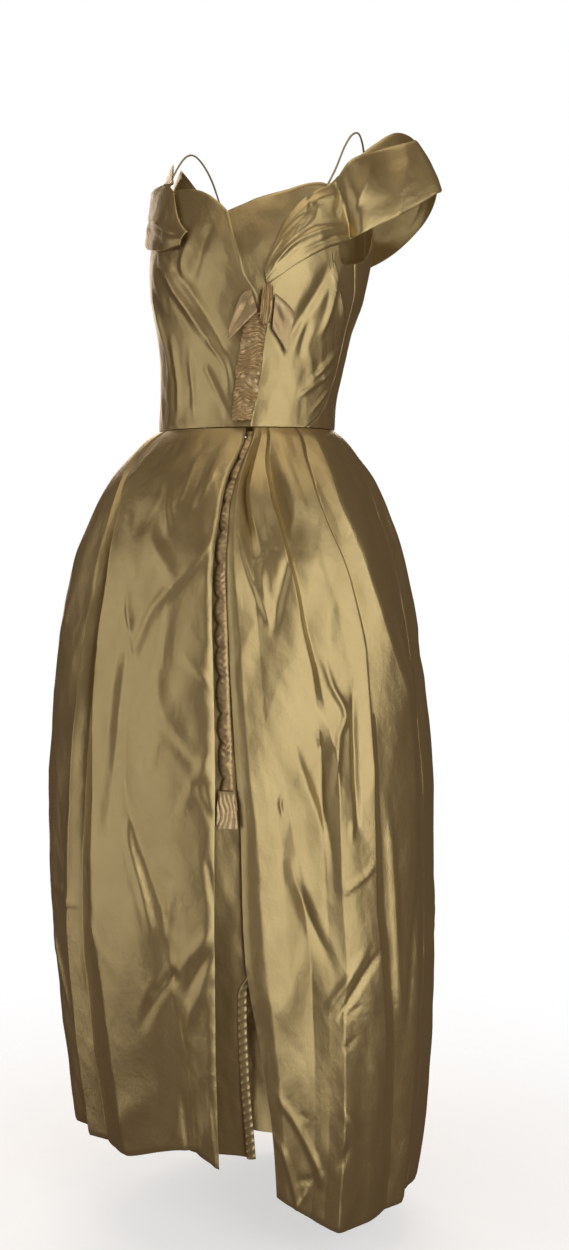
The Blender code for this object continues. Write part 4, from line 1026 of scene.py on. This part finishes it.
class GownStage(bpy.types.PropertyGroup):
    """The camera and lights around the gown."""
    distance: FloatProperty(name="Camera distance", description="From the gown's axis",
                            default=2.0, subtype="DISTANCE", unit="LENGTH")
    azimuth: FloatProperty(name="Camera azimuth", description="Round from the front to the left",
                           default=radians(29), subtype="ANGLE", unit="ROTATION")
    eye_height: FloatProperty(name="Eye height", description="Camera height above the waist",
                              default=-0.127, subtype="DISTANCE", unit="LENGTH")
    lens: FloatProperty(name="Lens", description="Focal length for a 36 mm high sensor",
                        default=44.29, subtype="DISTANCE_CAMERA")
    rise: FloatProperty(name="Vertical shift", description="Share of the sensor", default=-0.076)
    slide: FloatProperty(name="Sideways shift", description="Share of the sensor", default=0.0308)
    key: FloatProperty(name="Key light", description="From the right of the camera", default=62.0,
                       subtype="POWER", unit="POWER")
    fill: FloatProperty(name="Fill light", description="Broad and weak, from the left",
                        default=30.0, subtype="POWER", unit="POWER")
    behind: FloatProperty(name="Back light", description="Broad, from behind", default=72.0,
                          subtype="POWER", unit="POWER")
    air: FloatProperty(name="Ambient", description="Strength of the room's even light",
                       default=0.07)


def seam_half():
    """Half a seam gap, as degrees round the bodice."""
    return np.degrees(SEAM_GAP / 2 / SEAM_RADIUS)


def side_front(height):
    return smooth(height, SIDE_FRONT_SEAM)


def side_back(height):
    return smooth(height, SIDE_BACK_SEAM)


def wrap_edge(height):
    return smooth(height, WRAP_EDGE)


class GOWN_OT_skirt(bpy.types.Operator):
    """Make the four quarters of the skirt"""
    bl_idname = "gown.skirt"
    bl_label = "Skirt"

    def execute(self, context):
        skirt_panel("skirt_front_right", RIGHT_FRONT_FOLDS, RIGHT_FRONT_CREASES, 1.5, True, False,
                    14, 250)
        skirt_panel("skirt_front_left", LEFT_FRONT_FOLDS, LEFT_FRONT_CREASES, 61.5, False, True,
                    15, 250)
        skirt_panel("skirt_back_left", back_folds(1), back_creases(1, 8), 121.5, True, True,
                    13, 155)
        skirt_panel("skirt_back_right", back_folds(-1), back_creases(-1, 5), 181.5, True, True,
                    13, 155)
        return {"FINISHED"}


class GOWN_OT_bodice(bpy.types.Operator):
    """Make the six panels of the bodice"""
    bl_idname = "gown.bodice"
    bl_label = "Bodice"

    def execute(self, context):
        def left_top(angle):
            return smooth(angle, LEFT_TOP)

        def right_top(angle):
            return smooth(-angle, RIGHT_TOP)

        def flat(angle, height):
            return 0.0

        half = seam_half()
        bodice_panel("bodice_front_right", lambda z: half - side_front(z), wrap_edge, right_top,
                     wrap_lift, 118, 112, free_right=True)
        bodice_panel("bodice_front_left", lambda z: wrap_edge(z) - UNDERLAP,
                     lambda z: side_front(z) - half, left_top, flat, 84, 120, free_left=True)
        bodice_panel("bodice_side_left", lambda z: side_front(z) + half,
                     lambda z: side_back(z) - half, left_top, flat, 46, 100)
        bodice_panel("bodice_back_left", lambda z: side_back(z) + half, lambda z: 180 - half,
                     left_top, flat, 60, 100)
        bodice_panel("bodice_side_right", lambda z: half - side_back(z),
                     lambda z: -side_front(z) - half, right_top, flat, 46, 100)
        bodice_panel("bodice_back_right", lambda z: half - 180, lambda z: -side_back(z) - half,
                     right_top, flat, 60, 100)
        return {"FINISHED"}


class GOWN_OT_bands(bpy.types.Operator):
    """Make the folded shoulder bands and the collar that joins them behind"""
    bl_idname = "gown.bands"
    bl_label = "Shoulder bands"

    def execute(self, context):
        def on_bodice(pair, lift):
            return tuple(tuple(bodice_point(angle, height, bodice_off(angle, height) + lift))
                         for angle, height in pair)

        def sewn_left(at, share):
            into_bow = eased((at - 0.2) / 1.2)
            upper = np.maximum(eased(share / 0.30), eased((at - 2.9) / 0.5))
            return 0.16 + 0.84 * into_bow * upper

        def free(at, share):
            return 1.0 + 0 * at * share

        left = tuple(on_bodice(pair, LAYER_GAP) for pair in LEFT_BAND_ON_BODICE) + LEFT_BAND_FREE
        over = BAND_LIFT + WRAP_LIFT
        right = tuple(on_bodice(pair, over) for pair in RIGHT_BAND_ON_BODICE) + RIGHT_BAND_FREE
        band("shoulder_band_left", left, 150, 40, 0.004, BAND_LIFT, LEFT_BAND_CREASES,
             sewn_left)
        band("shoulder_band_right", right, 110, 36, 0.004, over, RIGHT_BAND_CREASES, free,
             True)
        band("collar_back", COLLAR, 190, 24, 0.003, BAND_LIFT, RIGHT_BAND_CREASES, free)
        return {"FINISHED"}


class GOWN_OT_straps(bpy.types.Operator):
    """Make the two rouleau shoulder straps"""
    bl_idname = "gown.straps"
    bl_label = "Straps"

    def execute(self, context):
        rouleau("strap_left", LEFT_STRAP)
        rouleau("strap_right", RIGHT_STRAP)
        return {"FINISHED"}


def above_wrap(angle, height):
    """The stand-off of the bodice's outer face: the wrapped front's, where there is one."""
    return np.where(angle < wrap_edge(height) + 3, wrap_lift(angle, height), 0.0)


def ruched_band():
    """A gathered strip over the wrap's edge, its ruches fanning down from the bow."""
    rows, columns = 150, 44
    share = np.linspace(0, 1, columns)[None, :]
    down = np.linspace(0, 1, rows)[:, None]
    height = mix(RUCHED_ANGLES[-1][0], RUCHED_ANGLES[0][0], down) + 0 * share
    scallop = 0.5 * crumple(height, 0 * height, 41.5, 0.010, 1.0)
    left = smooth(height, RUCHED_ANGLES, 1) + scallop
    right = smooth(height, RUCHED_ANGLES, 2) + 0.4 * crumple(height, 0 * height, 44.5, 0.008, 1.0)
    angle = mix(left, right, share)
    arc = height + 0.012 * (share - 0.35) ** 2 + 0.004 * crumple(share, height, 47.5, 0.6, 0.03)
    ruches = np.sin(2 * pi * arc / RUCHE_PITCH + 2.6 * crumple(share, height, 50.5, 0.5, 0.016))
    ridged = (1 - np.abs(ruches)) ** 1.1
    fine = np.sin(2 * pi * arc / FINE_PITCH + 3 * crumple(share, height, 53.5, 0.3, 0.01))
    puff = 0.0012 * bowed(share)
    edge = np.minimum(share, 1 - share) * 0.03
    off = (WRAP_LIFT + 0.0026 + puff + 0.0024 * ridged + 0.00018 * fine
           + 0.0010 * crumple(share, height, 56.5, 0.25, 0.013) - 0.0014 * near_edge(edge, 0.004))
    base = np.maximum(bodice_off(angle, height), -0.0010)
    # Its ruche ridges get a little painted highlight.
    cloth("ruched_band", bodice_point(angle, height, base + off), "rose satin",
          bpy.context.scene.gown_cloth.ruched_wall, ridged * 0.15, 1.2,
          ("ruched_band",))


def bow_piece(name, pairs, lift, columns, rows, folds, bulge=0.0022):
    """A piece of the bow between an upper and a lower edge, with tucks running along it."""
    at = np.linspace(0, len(pairs) - 1, columns)[None, :]
    share = np.linspace(0, 1, rows)[:, None]
    upper, lower = two_edges(pairs, at, (1, 2))
    angle = mix(upper[0], lower[0], share)
    height = mix(upper[1], lower[1], share)
    swell = bulge * bowed(share) ** 0.6
    tucks = folds(at / (len(pairs) - 1) + 0 * share, share + 0 * at)
    base = above_wrap(angle, height) + np.maximum(bodice_off(angle, height), -0.0010)
    # The tucks' raised crests get painted highlight.
    cloth(name, bodice_point(angle, height, base + lift + swell + tucks), "rose satin",
          bpy.context.scene.gown_cloth.wall, np.clip(tucks / 0.002, 0, 1) * 0.7, 1.15,
          (name,))


class GOWN_OT_trimmings(bpy.types.Operator):
    """Make the ruched band and the small bow above it"""
    bl_idname = "gown.trimmings"
    bl_label = "Bow and ruching"

    def execute(self, context):
        def along(at, share):
            wander = share + 0.05 * crumple(at, share, 61.5, 0.5, 0.4)
            return 0.0010 * np.sin(2 * pi * wander * 1.3) + 0.0007 * crumple(
                at, share, 64.5, 0.35, 0.30)

        def across(at, share):
            wander = at + 0.10 * (share - 0.5) ** 2 + 0.04 * crumple(at, share, 67.5, 0.4, 0.5)
            return 0.0011 * np.sin(2 * pi * wander * 2.5 + 0.8) + 0.0006 * crumple(
                at, share, 70.5, 0.12, 0.4)

        ruched_band()
        bow_piece("bow_tail_right", BOW_RIGHT_TAIL, 0.0046, 70, 34, along)
        bow_piece("bow_tail_left", BOW_LEFT_TAIL, 0.0062, 60, 34, along)
        bow_piece("bow_knot", BOW_KNOT, 0.0090, 60, 44, across, 0.0042)
        return {"FINISHED"}


def opening_edges(drop):
    """The two edges of the skirt's front opening."""
    return smooth(drop, RIGHT_FRONT_FOLDS[-1][1], 1), smooth(drop, LEFT_FRONT_FOLDS[0][1], 1)


def hung_strip(name, drops, rows, columns, edges, depth, finish, wall, edge, loose,
               nodes):
    """Cloth hung behind the skirt's opening: edges and depth are given for each point of it."""
    down = np.linspace(0, 1, rows)[:, None]
    share = np.linspace(0, 1, columns)[None, :]
    drop = mix(drops[0], drops[1], down) + 0 * share
    low, high = edges(drop)
    angle = mix(low, high, share)
    points = lifted(skirt_point, angle, drop, -depth(drop, share + 0 * drop))
    cloth(name, points, finish, wall, edge(drop, share + 0 * drop), loose,
          nodes)


def lobes(drop):
    """Scallops of the strip's edge where its ruches are drawn in, 0 at the tips."""
    beat = drop / LOBE_PITCH + 0.35 * crumple(drop, 0 * drop, 71.5, 0.09, 1.0)
    return np.abs(np.sin(pi * beat)) ** 0.5


def strip_edges(drop):
    low, high = opening_edges(drop)
    degree = np.degrees(1 / smooth(drop, SKIRT_RINGS, 1))
    middle = (low + high) / 2
    left = middle - SASH_HALF_WIDTH * degree * (0.40 + 0.62 * lobes(drop))
    return left, middle + SASH_HALF_WIDTH * degree * 1.2


def ruches(drop, share):
    slant = drop + 0.004 * (share - 0.5) + 0.003 * crumple(drop, share, 73.5, 0.02, 0.5)
    fold = (1 - np.abs(np.sin(pi * slant / STRIP_PITCH))) ** 1.3
    return fold + 0.5 * crumple(drop, share, 75.5, 0.010, 0.4)


def strip_depth(drop, share):
    round_over = 0.0022 * (2 * share - 1) ** 4
    dip = 0.0016 * (1 - lobes(drop)) * (1 - share)
    return 0.0036 + round_over + dip - 0.0008 * ruches(drop, share)


def end_edges(drop):
    low, high = opening_edges(drop)
    flare = 0.35 * eased((drop - SASH_END_DROP[0]) / 0.03)
    return low + 0.55 - flare, high - 0.25


def end_depth(drop, share):
    fan = np.abs(np.sin(pi * (share * 4 + 0.5 * crumple(drop, share, 77.5, 0.02, 0.6))))
    puff = eased((drop - SASH_END_DROP[0]) / 0.012)
    return 0.0022 - 0.0016 * puff * fan - 0.0004 * ruches(drop, share)


def underlay_edges(drop):
    low, high = opening_edges(drop)
    return low - UNDERLAY_TUCK, smooth(drop, UNDERLAY_EDGE)


def underlay_depth(drop, share):
    x = SKIRT_RADIUS * np.radians(mix(*underlay_edges(drop), share))
    return smooth(drop, UNDERLAY_DEPTH) - creeping(x, drop, 91.5)


def facing_edges(drop):
    degree = np.degrees(1 / smooth(drop, SKIRT_RINGS, 1))
    right = smooth(drop, UNDERLAY_EDGE) + 0.2
    wide = FACING_WIDTH * eased((drop - 0.640) / 0.035 + 0.12)
    return right - wide * degree, right


def facing_depth(drop, share):
    pucker = (1 - np.abs(np.sin(pi * (drop + 0.006 * share) / FACING_PITCH))) ** 1.2
    roll = 0.0016 * (2 * share - 1) ** 4
    return smooth(drop, UNDERLAY_DEPTH) - 0.0030 + roll - 0.0008 * pucker


class GOWN_OT_opening(bpy.types.Operator):
    """Make what hangs in the skirt's front opening: the ruched strip, its end and the underlay"""
    bl_idname = "gown.opening"
    bl_label = "Front opening"

    def execute(self, context):
        sizes = context.scene.gown_cloth
        # Painted highlight on the strip's ruche ridges.
        hung_strip("sash_strip", SASH_DROP, 480, 16, strip_edges, strip_depth, "rose satin",
                   sizes.ruched_wall, lambda drop, share: 0.12 * ruches(drop, share), 1.2,
                   ("sash_strip",))
        # The end is painted paler all over, with more painted highlight on its ruche ridges.
        hung_strip("sash_end", SASH_END_DROP, 60, 30, end_edges, end_depth, "rose satin",
                   sizes.ruched_wall, lambda drop, share: 0.4 + 0.15 * ruches(drop, share), 1.2,
                   ("sash_end",))
        hung_strip("skirt_underlay", UNDERLAY_DROP, 200, 36, underlay_edges, underlay_depth,
                   "gold satin", sizes.wall, lambda drop, share: 0 * share, 1.0,
                   ("skirt_underlay",))
        # The facing is painted paler all over: painted highlight of its pressed fold.
        hung_strip("underlay_facing", FACING_DROP, 240, 14, facing_edges, facing_depth,
                   "gold satin", FACING_WALL, lambda drop, share: 0.6 + 0 * share, 1.0,
                   ())
        return {"FINISHED"}


class GOWN_OT_stitching(bpy.types.Operator):
    """Sew the waist seam"""
    bl_idname = "gown.stitching"
    bl_label = "Stitches"

    def execute(self, context):
        sizes = context.scene.gown_cloth
        paths = []
        for first, last, places in WAIST_STITCHES:
            angle, height = np.linspace(first, last, places), np.full(places, STITCH_HEIGHT)
            off = bodice_off(angle, height) + above_wrap(angle, height) + sizes.thread * 0.3
            paths.append(bodice_point(angle, height, off))
        stitch_rows("waist_stitches", paths, sizes.stitch_pitch, sizes.stitch_length,
                    sizes.thread, "gold thread")
        return {"FINISHED"}


def lamp(name, azimuth, height, distance, size, power, colour):
    """A soft light, so wide and tall, at an azimuth round the gown and turned to it."""
    light = bpy.data.lights.new(name, "AREA")
    light.shape = "RECTANGLE"
    light.size, light.size_y = size
    light.energy = power
    light.color = colour
    thing = placed(name, light)
    turn = radians(azimuth)
    thing.location = (distance * sin(turn), -distance * cos(turn), height)
    ahead = Vector((0, 0, -0.35)) - thing.location
    thing.rotation_euler = ahead.to_track_quat("-Z", "Y").to_euler()


class GOWN_OT_stage(bpy.types.Operator):
    """Set the camera, lights, world and a pale floor"""
    bl_idname = "gown.stage"
    bl_label = "Stage"

    def execute(self, context):
        scene = context.scene
        look = scene.gown_stage
        camera = bpy.data.cameras.new("Camera")
        camera.sensor_fit = "VERTICAL"
        camera.sensor_height = 36
        camera.lens = look.lens
        camera.shift_x = look.slide
        camera.shift_y = look.rise
        viewer = placed("Camera", camera)
        viewer.location = (look.distance * sin(look.azimuth), -look.distance * cos(look.azimuth),
                           look.eye_height)
        viewer.rotation_euler = (pi / 2, 0, look.azimuth)
        scene.camera = viewer
        warm, plain = (1.0, 0.90, 0.78), (1.0, 1.0, 1.0)
        lamp("Key", 55, -0.20, 3.2, (1.7, 4.4), look.key, plain)
        lamp("Side", -44, -0.20, 3.2, (1.4, 4.2), look.fill, plain)
        lamp("Above", 20, 2.30, 0.6, (1.6, 1.6), look.fill * 0.40, warm)
        lamp("Behind", 215, 0.10, 3.2, (2.6, 3.4), look.behind, warm)
        world = bpy.data.worlds.new("Studio")
        world.use_nodes = True
        tree = world.node_tree
        seen = node(tree, "ShaderNodeLightPath", output="Is Camera Ray")
        colour = blended(tree, seen, (1.0, 0.55, 0.45, 1), (1.0, 1.0, 1.0, 1))
        strength = seen * (1.0 - look.air) + look.air
        air = tree.nodes["Background"]
        fill(air, {"Color": colour, "Strength": strength})
        scene.world = world
        scene.view_settings.view_transform = "Standard"
        self.floor()
        return {"FINISHED"}

    def floor(self):
        """A disc that takes the gown's shadow and fades into the white behind it."""
        mesh = bpy.data.meshes.new("Floor")
        disc = bmesh.new()
        bmesh.ops.create_circle(disc, cap_ends=True, segments=96, radius=FLOOR_RADIUS)
        disc.to_mesh(mesh)
        disc.free()
        material, tree, shader = new_finish("Pale floor")
        place = node(tree, "ShaderNodeTexCoord", output="Object")
        grain = cloudy(tree, place, 0.05, 3.0)
        far = node(tree, "ShaderNodeVectorMath", {"operation": "LENGTH"}, {0: place}, "Value")
        fade = node(tree, "ShaderNodeMapRange", {"interpolation_type": "SMOOTHSTEP"},
                    {"Value": far, "From Min": 0.1, "From Max": 1.1, "To Min": 0.75,
                     "To Max": 0.0})
        colour = blended(tree, grain * 0.3, (0.92, 0.92, 0.91, 1), (0.86, 0.86, 0.85, 1))
        fill(shader, {"Base Color": colour, "Alpha": fade, "Roughness": 0.6 + grain * 0.2,
                      "Emission Color": (1.0, 1.0, 1.0, 1.0), "Emission Strength": 0.45})
        mesh.materials.append(material)
        floor = placed("Floor", mesh)
        floor.location = (0, 0, FLOOR_HEIGHT)
        floor.visible_diffuse = False
        floor.visible_glossy = False


class GOWN_PT_panel(bpy.types.Panel):
    """The gown's sizes, colours and parts"""
    bl_idname = "GOWN_PT_panel"
    bl_label = "Gown"
    bl_space_type = "VIEW_3D"
    bl_region_type = "UI"
    bl_category = "Gown"

    def draw(self, context):
        for group in (context.scene.gown_cloth, context.scene.gown_colours,
                      context.scene.gown_stage):
            for name in group.__annotations__:
                self.layout.prop(group, name)
        for operator in OPERATORS:
            self.layout.operator(operator.bl_idname)


OPERATORS = (GOWN_OT_skirt, GOWN_OT_bodice, GOWN_OT_bands, GOWN_OT_straps, GOWN_OT_trimmings,
             GOWN_OT_opening, GOWN_OT_stitching, GOWN_OT_stage)
CLASSES = (GownCloth, GownColours, GownStage, *OPERATORS, GOWN_PT_panel)


def register():
    for each in CLASSES:
        bpy.utils.register_class(each)
    bpy.types.Scene.gown_cloth = PointerProperty(type=GownCloth)
    bpy.types.Scene.gown_colours = PointerProperty(type=GownColours)
    bpy.types.Scene.gown_stage = PointerProperty(type=GownStage)


def unregister():
    del bpy.types.Scene.gown_cloth
    del bpy.types.Scene.gown_colours
    del bpy.types.Scene.gown_stage
    for each in reversed(CLASSES):
        bpy.utils.unregister_class(each)


def main():
    register()
    bpy.ops.gown.skirt()
    bpy.ops.gown.bodice()
    bpy.ops.gown.bands()
    bpy.ops.gown.straps()
    bpy.ops.gown.trimmings()
    bpy.ops.gown.opening()
    bpy.ops.gown.stitching()
    bpy.ops.gown.stage()


if __name__ == "__main__":
    main()
